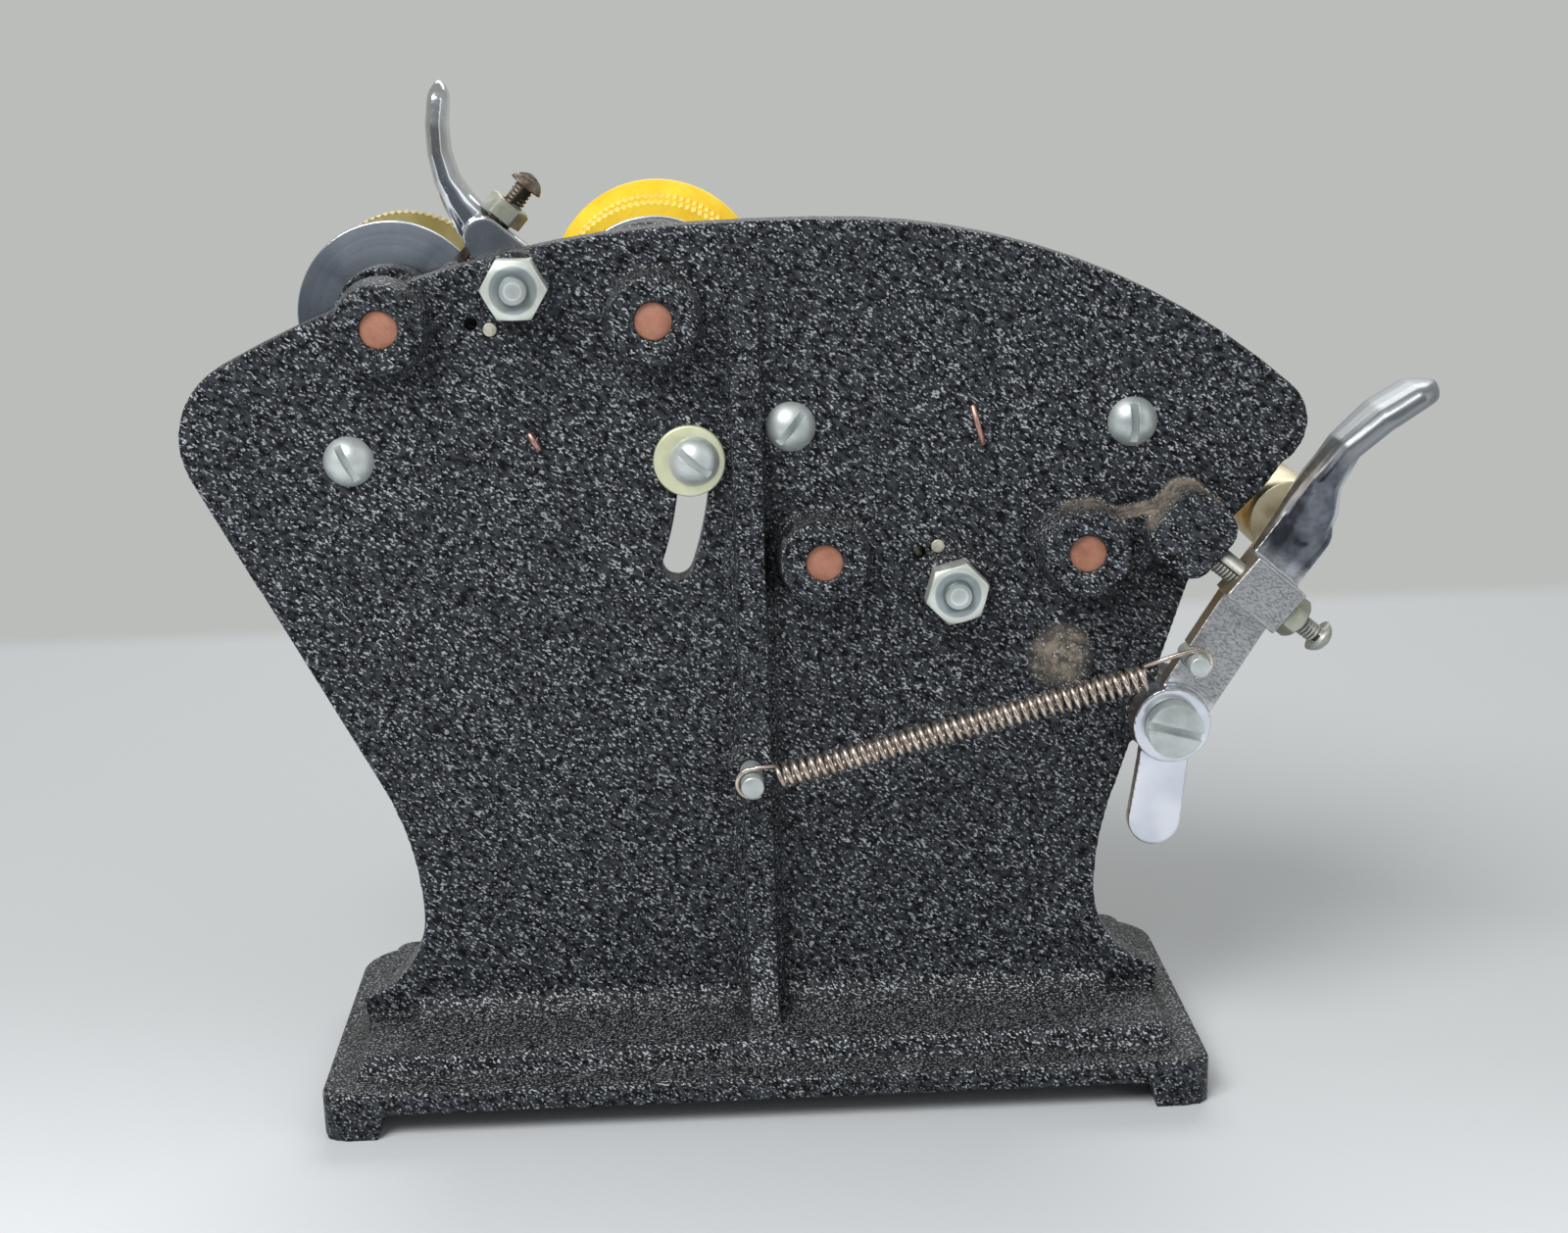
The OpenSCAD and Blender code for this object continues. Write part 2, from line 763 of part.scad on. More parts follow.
module drum(n) color(steel) place()
    translate([axle_x(n), 0, axle_z(n)])
        rotate([-90, 0, 0])
            rotate_extrude()
                polygon([[axle_bore_r, drum_y], [drum_r, drum_y], [drum_r, drum_y + drum_edge],
                         [drum_r - drum_dip, drum_y + drum_edge + drum_dip],
                         [drum_r - drum_dip, brass_y - drum_edge - drum_dip],
                         [drum_r, brass_y - drum_edge], [drum_r, brass_y], [axle_bore_r, brass_y]]);

// Outline with fine teeth round its edge
module toothed(r, depth, count)
    polygon([for (i = [0:2 * count - 1])
             let (a = 180 * i / count, q = i % 2 == 0 ? r : r - depth)
             q * [cos(a), sin(a)]]);

module brass_disc(n) color(brass) place()
    translate([axle_x(n), 0, axle_z(n)])
        difference() {
            union() {
                slab_y(brass_y + 0.5, brass_end - 0.5)
                    toothed(brass_r, 0.4, knurl_count);
                rod_y(0, 0, brass_r - 0.7, brass_y, brass_end - 0.4);
                rod_y(0, 0, wheel_hub_r, brass_y, brass_end);
            }
            bore_y(0, 0, axle_bore_r);
            difference() {
                rod_y(0, 0, brass_r - 2.4, brass_end - 1.6, brass_end + 1);
                rod_y(0, 0, wheel_hub_r - 1, brass_end - 2, brass_end + 2);
            }
        }

module yellow_wheel(n) color(yellow) place()
    translate([axle_x(n), 0, axle_z(n)])
        difference() {
            union() {
                rod_y(0, 0, wheel_hub_r + 2, yellow_y, rib_band_y + 1);
                slab_y(rib_band_y, rib_band_y + band_w)
                    toothed(ribbed_r, rib_depth, rib_count);
                rod_y(0, 0, ribbed_r - rib_depth - 0.8, rib_band_y + 1, rim_y);
                slab_y(second_band_y, rim_y)
                    toothed(ribbed_r + 0.3, rib_depth, rib_count);
                cone_y(0, 0, ribbed_r - 0.1, rim_r, rim_y, rim_y + rim_taper);
                rod_y(0, 0, rim_r, rim_y + rim_taper, yellow_end - 0.8);
                cone_y(0, 0, rim_r, rim_r - 0.8, yellow_end - 0.8, yellow_end);
            }
            bore_y(0, 0, axle_bore_r);
            difference() {
                rod_y(0, 0, rim_r - 4, yellow_end - 5, yellow_end + 1);
                rod_y(0, 0, wheel_hub_r, yellow_end - 6, yellow_end + 1);
            }
        }

// ---- thumb levers ----

module lever_stud(s) color(steel) place()
    at_stud(s)
        rod_y(0, 0, stud_d / 2, -nut_boss_h - nut_t - stud_proud, sleeve_end + face_gap + stud_front);

module lever_nut(s) color(steel) place()
    at_stud(s)
        difference() {
            hex(nut_af, -nut_boss_h - nut_t, -nut_boss_h, nut_turn(s));
            bore_y(0, 0, stud_d / 2 + fit_gap);
        }

module lever_collar(s) color(steel) place()
    at_stud(s)
        difference() {
            rod_y(0, 0, hub_r - 0.6, sleeve_end + face_gap, sleeve_end + face_gap + collar_t);
            bore_y(0, 0, stud_d / 2 + fit_gap);
        }

module dowel(s) color(steel) place()
    at_stud(s)
        rod_y(dowel_at(s)[0], dowel_at(s)[1], dowel_d / 2, -0.3, dowel_end);

// Axis of a stop screw: local +Y runs from the head to the tip
module on_stop_axis()
    translate([stop_root[0], stop_y, stop_root[1]])
        rotate([0, atan2(-stop_axis[1], stop_axis[0]) + 90, 0])
            rotate([90, 0, 0])
                children();

module thumb_lever(s) color(chrome) place()
    at_stud(s)
        difference() {
            union() {
                rod_y(0, 0, sleeve_r, arm_y, sleeve_end);
                slab_y(arm_y, arm_end)
                    hull() {
                        circle(hub_r);
                        translate(stop_root)
                            circle(lug_r);
                    }
                rod_y(stop_root[0], stop_root[1], lug_r - 0.2, arm_y + sunk, stop_y + stop_d / 2 + 1.6);
                skin(blade_rings(horn_line, horn_half, horn_depth, horn_y));
            }
            bore_y(0, 0, stud_d / 2 + run_gap);
            on_stop_axis()
                bore_y(0, 0, stop_d / 2 + fit_gap);
        }

module presser_arm(s) color(steel) place()
    at_stud(s)
        difference() {
            union() {
                slab_y(presser_y, sleeve_end)
                    hull() {
                        circle(presser_hub_r);
                        translate(shoe_at)
                            circle(shoe_r);
                    }
                rod_y(shoe_at[0], shoe_at[1], finger_r, presser_y + sunk, shoe_end);
            }
            bore_y(0, 0, sleeve_r + fit_gap);
        }

module stop_screw(s) color(steel) place()
    at_stud(s)
        on_stop_axis()
            slotted_screw(stop_head_r, stop_head_h, stop_d / 2, -stop_back, stop_reach, 30);

module stop_nut(s) color(steel) place()
    at_stud(s)
        on_stop_axis()
            difference() {
                hex(stop_nut_af, -lug_r - stop_nut_t - 0.6, -lug_r - 0.6, 0);
                bore_y(0, 0, stop_d / 2 + fit_gap);
            }

// The first leg lies along the dowel pin's inner side
function torsion_points(s) =
    let (r = sleeve_r + torsion_wire / 2 + coil_room,
         rise = (presser_y - arm_end - torsion_wire - 2 * face_gap) / torsion_turns,
         y0 = arm_end + torsion_wire / 2 + face_gap,
         d = dowel_at(s),
         aside = acos((r + (dowel_d + torsion_wire) / 2 + face_gap) / norm(d)),
         a0 = atan2(d[1], d[0]) + aside,
         leg = norm(d) * sin(aside) + leg_spare)
    concat([[r * cos(a0) + leg * sin(a0), y0, r * sin(a0) - leg * cos(a0)]],
           [for (i = [0:8 * torsion_turns])
               let (a = a0 + 45 * i)
               [r * cos(a), y0 + rise * i / 8, r * sin(a)]],
           [[r * cos(a0) - far_leg * sin(a0), y0 + rise * torsion_turns,
             r * sin(a0) + far_leg * cos(a0)]]);

module thumb_spring(s) color(spring_bronze) place()
    at_stud(s)
        wire(torsion_points(s), torsion_wire / 2, [0, 1, 0]);

// ---- guide rails ----

module at_rail(s)
    translate([rail_x(s), 0, rail_z(s)])
        rotate([0, s == 1 ? rail_set : 0, 0])
            mirror([0, 0, s == 2 ? 1 : 0])
                children();

module guide_rail(s) color(steel) place()
    at_rail(s)
        difference() {
            union() {
                for (e = rail_ends(s))
                    rod_y(e[0], e[1], rail_ear_r, rail_y, rail_y + rail_ear_t);
                translate([0, rail_y, web_low])
                    cube([rail_pitch, web_t, shelf_top - web_low]);
                translate([shelf_in, rail_y, shelf_top - shelf_t])
                    cube([rail_pitch - 2 * shelf_in, shelf_d, shelf_t]);
            }
            for (e = rail_ends(s))
                rod_y(e[0], e[1], screw_d / 2 + fit_gap, 0, rail_y + rail_ear_t - rail_skin);
        }

// Screw k of rail s: 0 is its left one and 1 its right one
module rail_screw(s, k) color(steel) place()
    at_rail(s)
        translate([rail_ends(s)[k][0], 0, rail_ends(s)[k][1]])
            slotted_screw(head_r, head_h, screw_d / 2, (s == 1 ? -washer_t * k : 0) - seat_gap,
                          rail_y + rail_ear_t - rail_skin - sunk, rail_head_turns[2 * s - 2 + k]);

module slot_washer() color("#cfc99a") place()
    at_rail(1)
        difference() {
            rod_y(rail_pitch - 0.8, 0, washer_r, -washer_t - seat_gap, -seat_gap);
            bore_y(rail_pitch, 0, screw_d / 2 + fit_gap);
        }

module wire_guide(s) color("#a8623f") place()
    at_stud(s) {
        p = [wire_at(s)[0], wire_at(s)[1] - stud_rise];
        t = wire_tail(s);
        wire([[p[0] + t[0] * -1, -0.75, p[1] - t[1]], [p[0], -0.75, p[1]],
              [p[0], 0.2, p[1]], [p[0], plate_t + 1.5, p[1]]],
             copper_r, [0.3, 0.2, 1], 8);
    }

// ---- side lever ----

module at_pivot() translate([pivot_x, 0, pivot_z]) children();

module on_side_axis()
    translate([side_lug[0], side_stop_y, side_lug[1]])
        rotate([0, atan2(-side_axis[1], side_axis[0]) - 90, 0])
            rotate([90, 0, 0])
                children();

module side_lever() color(chrome) place()
    at_pivot()
        difference() {
            union() {
                rod_y(0, 0, ring_r, ring_back, side_y);
                slab_y(side_back, side_y)
                    hull() {
                        circle(side_w / 2);
                        translate(side_lug)
                            circle(side_w / 2);
                    }
                slab_y(side_back + tail_in, side_y)
                    hull() {
                        circle(tail_half[0]);
                        translate(tail_line[0])
                            circle(tail_half[0]);
                    }
                slab_y(side_back + tail_in, side_y)
                    hull()
                        for (k = [0, 1])
                            translate(tail_line[k])
                                circle(tail_half[k]);
                slab_y(side_back, side_y)
                    hull() {
                        translate(side_lug)
                            circle(side_w / 2);
                        translate(roller_at)
                            circle(side_w / 2);
                    }
                on_side_axis()
                    cube([side_lug_w, side_lug_len, side_lug_w - 1], center = true);
                skin(blade_rings(blade_line, blade_half, blade_depth, blade_y));
            }
            bore_y(0, 0, shoulder_r + run_gap);
            on_side_axis()
                bore_y(0, 0, stop_d / 2 + fit_gap);
            bore_y(post_at[0], post_at[1], post_r + fit_gap);
            bore_y(roller_at[0], roller_at[1], pin_r + fit_gap);
        }

module side_stop_screw() color(steel) place()
    at_pivot()
        on_side_axis()
            slotted_screw(stop_head_r, stop_head_h, stop_d / 2, -side_stop_back, side_stop_reach, 20);

module side_stop_nut() color(steel) place()
    at_pivot()
        on_side_axis()
            difference() {
                hex(stop_nut_af, -side_lug_len / 2 - stop_nut_t, -side_lug_len / 2, 0);
                bore_y(0, 0, stop_d / 2 + fit_gap);
            }

module side_pivot_screw() color(steel) place()
    at_pivot() {
        difference() {
            rod_y(0, 0, pivot_head_r, ring_back - face_gap - pivot_head_t, ring_back - face_gap);
            translate([0, ring_back - face_gap - pivot_head_t, 0])
                rotate([0, pivot_slot_turn, 0])
                    cube([3 * pivot_head_r, 2 * pivot_slot_depth, 1.4], center = true);
        }
        rod_y(0, 0, shoulder_r, ring_back - face_gap - 0.4, -ear_boss_h);
        rod_y(0, 0, stud_d / 2, -ear_boss_h - 0.4, plate_t);
    }

module side_post() color(steel) place()
    at_pivot()
        rod_y(post_at[0], post_at[1], post_r, post_end, side_y - 0.4);

module roller_pin() color(steel) place()
    at_pivot() {
        end = roller_y + roller_len + face_gap;
        rod_y(roller_at[0], roller_at[1], pin_r, side_back, end);
        rod_y(roller_at[0], roller_at[1], pin_r + pin_head, end, end + pin_head_t);
    }

module side_roller() color(brass) place()
    at_pivot()
        difference() {
            rod_y(roller_at[0], roller_at[1], roller_r, roller_y, roller_y + roller_len);
            bore_y(roller_at[0], roller_at[1], pin_r + run_gap);
        }

// ---- springs and posts ----

module rib_post() color(steel) place()
    rod_y(rib_post_x, rib_post_z, rib_post_r, rib_post_end, plate_t - 1.4);

spring_from = [rib_post_x, rib_post_z];
spring_to = [pivot_x, pivot_z] + post_at;
spring_dir = unit(spring_to - spring_from);
spring_up = [-spring_dir[1], spring_dir[0]];
spring_len = norm(spring_to - spring_from);
coil_r = (coil_d - wire_d) / 2;
loop_gap = 0.35;
near_loop = rib_post_r + wire_d / 2 + loop_gap;
far_loop = post_r + wire_d / 2 + loop_gap;
coil_start = 4.6;
coil_end = 8.4;
coil_stop = spring_len - coil_end;
coil_pitch = (coil_stop - coil_start) / coil_turns;

function along(d, side, out) =
    [spring_from[0] + spring_dir[0] * d + spring_up[0] * side,
     hook_y + out,
     spring_from[1] + spring_dir[1] * d + spring_up[1] * side];

function spring_points() =
    concat([for (i = [0:9])
               let (a = 60 + 24 * i)
               along(near_loop * cos(a), near_loop * sin(a), 0)],
           [along(1.6, -near_loop, 0)],
           [for (i = [0:8 * coil_turns])
               let (a = -90 + 45 * i)
               along(coil_start + coil_pitch * i / 8, coil_r * sin(a), coil_r * cos(a))],
           [along(spring_len - 3, -far_loop, 0)],
           [for (i = [0:9])
               let (a = -96 + 24 * i)
               along(spring_len + far_loop * cos(a), far_loop * sin(a), 0)]);

module tension_spring() color(spring_bronze) place()
    wire(spring_points(), wire_d / 2, [0, 1, 0]);

// Least gap between two stretches of the wire that are not neighbours
function self_gap(p, r, apart) =
    min([for (i = [0:len(p) - 1 - apart], j = [i + apart:min(len(p) - 1, i + 3 * apart)])
         norm(p[i] - p[j])]) - 2 * r;

echo("tension spring, least gap to itself:", self_gap(spring_points(), wire_d / 2, 6));
echo("thumb spring, least gap to itself:", self_gap(torsion_points(1), torsion_wire / 2, 6));

stand_casting();
stand_base();
axle(1);  // axle_1
axle(2);  // axle_2
axle(3);  // axle_3
axle(4);  // axle_4
axle_screw(1);  // axle_screw_1
axle_screw(2);  // axle_screw_2
axle_screw(3);  // axle_screw_3
axle_screw(4);  // axle_screw_4
metal_flange(1);  // flange_1
thin_flange(2);  // flange_2
metal_flange(3);  // flange_3
thin_flange(4);  // flange_4
drum(1);  // drum_1
drum(3);  // drum_3
brass_disc(1);  // brass_disc_1
brass_disc(3);  // brass_disc_3
yellow_wheel(2);  // yellow_wheel_2
yellow_wheel(4);  // yellow_wheel_4
lever_stud(1);  // lever_stud_1
lever_stud(2);  // lever_stud_2
lever_nut(1);  // lever_nut_1
lever_nut(2);  // lever_nut_2
lever_collar(1);  // lever_collar_1
lever_collar(2);  // lever_collar_2
dowel(1);  // dowel_1
dowel(2);  // dowel_2
thumb_lever(1);  // thumb_lever_1
thumb_lever(2);  // thumb_lever_2
presser_arm(1);  // presser_arm_1
presser_arm(2);  // presser_arm_2
stop_screw(1);  // stop_screw_1
stop_screw(2);  // stop_screw_2
stop_nut(1);  // stop_nut_1
stop_nut(2);  // stop_nut_2
thumb_spring(1);  // thumb_spring_1
thumb_spring(2);  // thumb_spring_2
guide_rail(1);  // guide_rail_1
guide_rail(2);  // guide_rail_2
rail_screw(1, 0);  // rail_screw_1a
rail_screw(1, 1);  // rail_screw_1b
rail_screw(2, 0);  // rail_screw_2a
rail_screw(2, 1);  // rail_screw_2b
slot_washer();
wire_guide(1);  // wire_guide_1
wire_guide(2);  // wire_guide_2
rib_post();
side_lever();
side_stop_screw();
side_stop_nut();
side_pivot_screw();
side_post();
roller_pin();
side_roller();
tension_spring();
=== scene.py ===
# %% [markdown]
# This lesson dresses a small cast iron bench stand that feeds and guides a narrow strip.
# The stand's solids are already made, so the first step is to load them as a fixed frame.
# Everything made here is in metres and shares that frame, so nothing is fitted afterwards.

# %% Load the frame
import json
import math

import bmesh
import bpy
from mathutils import Matrix, Vector


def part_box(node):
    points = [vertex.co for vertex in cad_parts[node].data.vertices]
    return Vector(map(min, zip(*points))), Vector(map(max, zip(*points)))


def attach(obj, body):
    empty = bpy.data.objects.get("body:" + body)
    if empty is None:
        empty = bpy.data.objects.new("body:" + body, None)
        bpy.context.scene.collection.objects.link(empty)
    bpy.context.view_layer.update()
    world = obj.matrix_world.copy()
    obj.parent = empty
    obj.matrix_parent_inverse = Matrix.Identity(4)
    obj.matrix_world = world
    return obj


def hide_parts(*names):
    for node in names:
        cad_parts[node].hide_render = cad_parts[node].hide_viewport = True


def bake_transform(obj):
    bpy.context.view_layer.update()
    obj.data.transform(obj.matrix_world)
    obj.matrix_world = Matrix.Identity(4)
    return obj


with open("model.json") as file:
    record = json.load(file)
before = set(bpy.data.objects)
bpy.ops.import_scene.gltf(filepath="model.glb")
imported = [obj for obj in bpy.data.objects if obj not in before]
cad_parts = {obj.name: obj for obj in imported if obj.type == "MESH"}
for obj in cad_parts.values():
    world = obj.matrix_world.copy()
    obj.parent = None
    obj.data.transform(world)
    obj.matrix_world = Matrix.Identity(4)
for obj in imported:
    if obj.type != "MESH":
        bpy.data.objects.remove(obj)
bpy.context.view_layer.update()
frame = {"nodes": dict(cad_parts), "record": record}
nodes = frame["nodes"]
MM = 0.001


def add(name, data):
    """A new object in the scene, left at the origin."""
    made = bpy.data.objects.new(name, data)
    bpy.context.scene.collection.objects.link(made)
    return made



# %% [markdown]
# The camera stands behind the stand and a little above it, as someone at the bench would look
# down on its back. Its place is measured from the plate: from the rib's middle and from the
# plate's back face. Both follow from nodes, so the view keeps to the stand if a size changes.

# %% Find the stand's own origin
BASE_BACK = 22.5 * MM
RIB_POST_OFFSET = 1 * MM


def middle(node):
    low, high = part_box(node)
    return (low + high) / 2


origin = Vector((middle("rib_post").x + RIB_POST_OFFSET,
                 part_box("stand_base")[0].y + BASE_BACK, 0))
print("rib and plate origin in mm:", [round(v / MM, 2) for v in origin])

# %% Set the camera
FRAME_WIDTH = 1600
FOCAL_PIXELS = 2250
SENSOR_MM = 36
CLIP_START = 20 * MM
CAMERA_AT = Vector((-6.2, -360.6, 179.7)) * MM
PITCH_DOWN, YAW, ROLL = (math.radians(a) for a in (15.05, 1.85, 1.58))


def camera_axes(pitch, yaw, roll):
    """Right, up and forward directions of a camera that is pitched down, turned and rolled."""
    forward = Vector((math.sin(yaw) * math.cos(pitch),
                      math.cos(yaw) * math.cos(pitch), -math.sin(pitch)))
    right = Vector((math.cos(yaw), -math.sin(yaw), 0))
    up = right.cross(forward)
    rolled_right = math.cos(roll) * right - math.sin(roll) * up
    rolled_up = math.sin(roll) * right + math.cos(roll) * up
    return rolled_right, rolled_up, forward


right, up, forward = camera_axes(PITCH_DOWN, YAW, ROLL)
lens = bpy.data.cameras.new("bench_camera")
lens.sensor_fit = "HORIZONTAL"
lens.sensor_width = SENSOR_MM
lens.lens = FOCAL_PIXELS * SENSOR_MM / FRAME_WIDTH
lens.clip_start = CLIP_START
camera = add("bench_camera", lens)
turn = Matrix((right, up, -forward)).transposed().to_4x4()
camera.matrix_world = Matrix.Translation(origin + CAMERA_AT) @ turn
bpy.context.scene.camera = camera
print("lens in mm:", round(lens.lens, 2))

# %% [markdown]
# A finish is a network of nodes, and most of it is arithmetic. Written as plain expressions it
# reads like a formula. A small class wraps one socket and overloads the operators, and each
# operation on it adds one Math node. Numbers alone never become nodes.

# %% Arithmetic on sockets


class Wire:
    """A number, colour or vector on its way through a finish."""

    def __init__(self, finish, socket):
        self.finish = finish
        self.socket = socket

    def _math(self, operation, *values):
        sockets = dict(enumerate(values))
        return self.finish.node("ShaderNodeMath", {"operation": operation}, sockets)

    def __add__(self, other):
        return self._math("ADD", self, other)

    def __radd__(self, other):
        return self._math("ADD", other, self)

    def __sub__(self, other):
        return self._math("SUBTRACT", self, other)

    def __rsub__(self, other):
        return self._math("SUBTRACT", other, self)

    def __mul__(self, other):
        return self._math("MULTIPLY", self, other)

    def __abs__(self):
        return self._math("ABSOLUTE", self)

    def clamp(self):
        return self.finish.node("ShaderNodeClamp", {}, {0: self})

    def ramp(self, low, high):
        """0 below low and 1 above high, with a soft step between them."""
        settings = {"interpolation_type": "SMOOTHSTEP"}
        return self.finish.node("ShaderNodeMapRange", settings, {0: self, 1: low, 2: high})


class Finish:
    """One material, built by calls that each return a Wire."""

    def __init__(self, name):
        self.material = bpy.data.materials.new(name)
        self.material.use_nodes = True
        self.tree = self.material.node_tree
        self.tree.nodes.clear()
        self.place = self.node("ShaderNodeTexCoord", out="Object")

    def node(self, kind, settings=None, sockets=None, out=0):
        made = self.tree.nodes.new(kind)
        for key, value in (settings or {}).items():
            setattr(made, key, value)
        for key, value in (sockets or {}).items():
            if isinstance(value, Wire):
                self.tree.links.new(value.socket, made.inputs[key])
            else:
                made.inputs[key].default_value = value
        return Wire(self, made.outputs[out])

    def noise(self, scale, detail=2, roughness=0.5, distortion=0, place=None):
        sockets = {"Vector": place or self.place, "Scale": scale, "Detail": detail,
                   "Roughness": roughness, "Distortion": distortion}
        return self.node("ShaderNodeTexNoise", {}, sockets)

    def strokes(self, stretch, turn):
        """Coordinates drawn out along turned axes, so that a pattern lies in slanted strokes."""
        sockets = {"Vector": self.place, "Scale": stretch, "Rotation": turn}
        return self.node("ShaderNodeMapping", {"vector_type": "TEXTURE"}, sockets)

    def vectors(self, operation, a, b, out="Value"):
        return self.node("ShaderNodeVectorMath", {"operation": operation}, {0: a, 1: b}, out)

    def near(self, point, reach, fade):
        """1 within reach of a point, falling to 0 over the fade beyond it."""
        return 1 - self.vectors("DISTANCE", self.place, tuple(point)).ramp(reach, reach + fade)

    def along(self, start, direction):
        """How far a place lies from start in this direction."""
        offset = self.vectors("SUBTRACT", self.place, tuple(start), "Vector")
        return self.vectors("DOT_PRODUCT", offset, tuple(direction))

    def mix(self, factor, a, b):
        return self.node("ShaderNodeMix", {"data_type": "RGBA"}, {0: factor, 6: a, 7: b}, out=2)

    def facing(self, axis):
        """How far the surface looks along an axis, from -1 to 1."""
        normal = self.node("ShaderNodeNewGeometry", out="Normal")
        return self.node("ShaderNodeSeparateXYZ", {}, {0: normal}, axis)

    def openness(self, reach):
        """1 on open surfaces, falling to 0 in corners narrower than the reach."""
        settings = {"samples": 8, "only_local": True}
        return self.node("ShaderNodeAmbientOcclusion", settings, {"Distance": reach}, "AO")

    def radius(self, centre):
        """The distance from a centre line that runs along Y."""
        flat = self.vectors("MULTIPLY", self.place, (1, 0, 1), "Vector")
        return self.vectors("DISTANCE", flat, (centre[0], 0, centre[2]))

    def rings(self, centre, scale):
        """Noise that changes with the radius, as a lathe leaves it."""
        place = self.node("ShaderNodeCombineXYZ", {}, {0: self.radius(centre)})
        return self.noise(scale, 3, 0.6, 0, place)

    def bands(self, value, stops):
        """A colour for each value, blended between stops of (value, colour)."""
        ramp = self.tree.nodes.new("ShaderNodeValToRGB")
        elements = ramp.color_ramp.elements
        elements.remove(elements[1])
        elements[0].position = stops[0][0]
        elements[0].color = rgb(stops[0][1])
        for position, code in stops[1:]:
            elements.new(position).color = rgb(code)
        self.tree.links.new(value.socket, ramp.inputs["Fac"])
        return Wire(self, ramp.outputs["Color"])

    def bump(self, height, distance, strength):
        """A normal bent by a height pattern. The distance is the relief's depth in metres."""
        sockets = {"Strength": strength, "Distance": distance, "Height": height}
        return self.node("ShaderNodeBump", {}, sockets)

    def surface(self, **sockets):
        """The finished material, with each named socket of the shader linked or set."""
        named = {key.replace("_", " ").title(): value for key, value in sockets.items()}
        if "Ior" in named:
            named["IOR"] = named.pop("Ior")
        shader = self.node("ShaderNodeBsdfPrincipled", {}, named)
        output = self.tree.nodes.new("ShaderNodeOutputMaterial")
        self.tree.links.new(shader.socket, output.inputs["Surface"])
        return self.material


def rgb(code):
    """A colour written as on screen, such as "#c8c4b0", as the linear colour that shaders use."""
    values = [int(code[i:i + 2], 16) / 255 for i in (1, 3, 5)]
    return (*[v / 12.92 if v <= 0.04045 else ((v + 0.055) / 1.055) ** 2.4 for v in values], 1)


# %% [markdown]
# Wrinkle enamel is a baked paint that shrivels into tiny hard ridges as it dries. The ridges
# are glossy, so under a soft lamp the stand is charcoal with hundreds of small pale glints.
# One noise makes the ridges, and a finer one, drawn out in slanted strokes, bumps them and
# is painted into the colour as pale glints: painted highlights, denser on faces that look up.
# The colour is also darkened in corners and on faces that look up, as painted shade.
# Dust settles on what faces up, so the brown is laid by the surface's own normal.

# %% Wrinkle enamel
RIDGES = 1700
GLINTS = 3300
STROKE = (2.0, 1, 1)
STROKE_TURN = (0, 0.62, 0)
ENAMEL_RELIEF = 0.18 * MM
CORNER_REACH = 5 * MM


def on_plate(node, right=0.0, up=0.0):
    """A point on the plate's back face, this many mm right of a node's middle and above it."""
    centre = middle(node)
    return Vector((centre.x + right * MM, origin.y, centre.z + up * MM))


def wrinkle_enamel():
    finish = Finish("wrinkle_enamel")
    slanted = finish.strokes(STROKE, STROKE_TURN)
    ridge = 1 - abs(finish.noise(RIDGES, 3, 0.55, 0.6) - 0.5) * 2
    glint = finish.noise(GLINTS, 1, 0.5, 0, slanted)
    patch = finish.noise(120, 3, 0.6)
    up = finish.facing("Z")
    # Painted highlights: pale glints are painted into the colour, with more of them on faces that
    # look up.
    painted_top_highlight = up.ramp(0.12, 0.5)
    painted_glints = glint.ramp(0.575, 0.70) * (0.15 + patch * 0.85)
    painted_glints = painted_glints + glint.ramp(0.55, 0.67) * painted_top_highlight * 0.6
    valley = finish.noise(RIDGES * 0.7, 2, 0.55, 0, slanted)
    enamel = finish.mix(valley.ramp(0.36, 0.66), rgb("#08090b"), rgb("#383c41"))
    lit = finish.mix(painted_glints.clamp(), enamel, rgb("#c8cdd2"))
    # Painted shade: the colour is darkened in corners, found by the occlusion node, and on faces
    # that look up.
    corner = 1 - finish.openness(CORNER_REACH).ramp(0.35, 0.95)
    shade = (corner * 0.8 + up.ramp(0.3, 0.9) * 0.35).clamp()
    shaded = finish.mix(shade, lit, rgb("#070809"))
    speckled = (finish.noise(420, 4, 0.7) - 0.40).ramp(0, 0.2)
    shelves = finish.near(on_plate("axle_4", 15, 4), 7 * MM, 6 * MM)
    rims = finish.near(on_plate("axle_4", 0, 8), 1 * MM, 6 * MM)
    lug = finish.near(on_plate("axle_4", -3.8, -19), 3.5 * MM, 3 * MM)
    settled = up.ramp(0.15, 0.75) * (shelves * 0.9 + rims * 0.5 + 0.03)
    dust = ((settled + lug * 0.85) * (0.3 + speckled * 0.7)).clamp()
    dusty = finish.mix(dust, shaded, rgb("#8d8273"))
    height = ridge + glint * 0.7
    return finish.surface(base_color=dusty, roughness=0.4 + dust * 0.4,
                          normal=finish.bump(height, ENAMEL_RELIEF, 0.8), ior=1.22)


# %% [markdown]
# The bright parts are turned, plated or polished. Zinc is a soft grey with a bluish bloom and
# faint handling marks. Chrome is nearly a mirror, with fine pits and a dull rash where the
# plating is worn. Bearing bronze is pressed powder, so it is matt and grainy.

# %% Zinc and steel


def zinc(name, light, dark, bloom_scale=160, rough=0.3):
    finish = Finish(name)
    cloud = finish.noise(bloom_scale, 4, 0.6)
    grain = finish.noise(2600, 3, 0.6)
    marks = finish.noise(900, 2, 0.5, 0, finish.strokes((5, 1, 1), (0, 0.7, 0)))
    bloom = cloud.ramp(0.3, 0.7) * 0.7 + marks * 0.3
    colour = finish.mix(bloom, rgb(dark), rgb(light))
    roughness = rough + cloud * 0.18 + grain * 0.06
    return finish.surface(base_color=colour, metallic=0.6, roughness=roughness,
                          normal=finish.bump(grain * 0.5 + marks * 0.5, 0.05 * MM, 0.4))


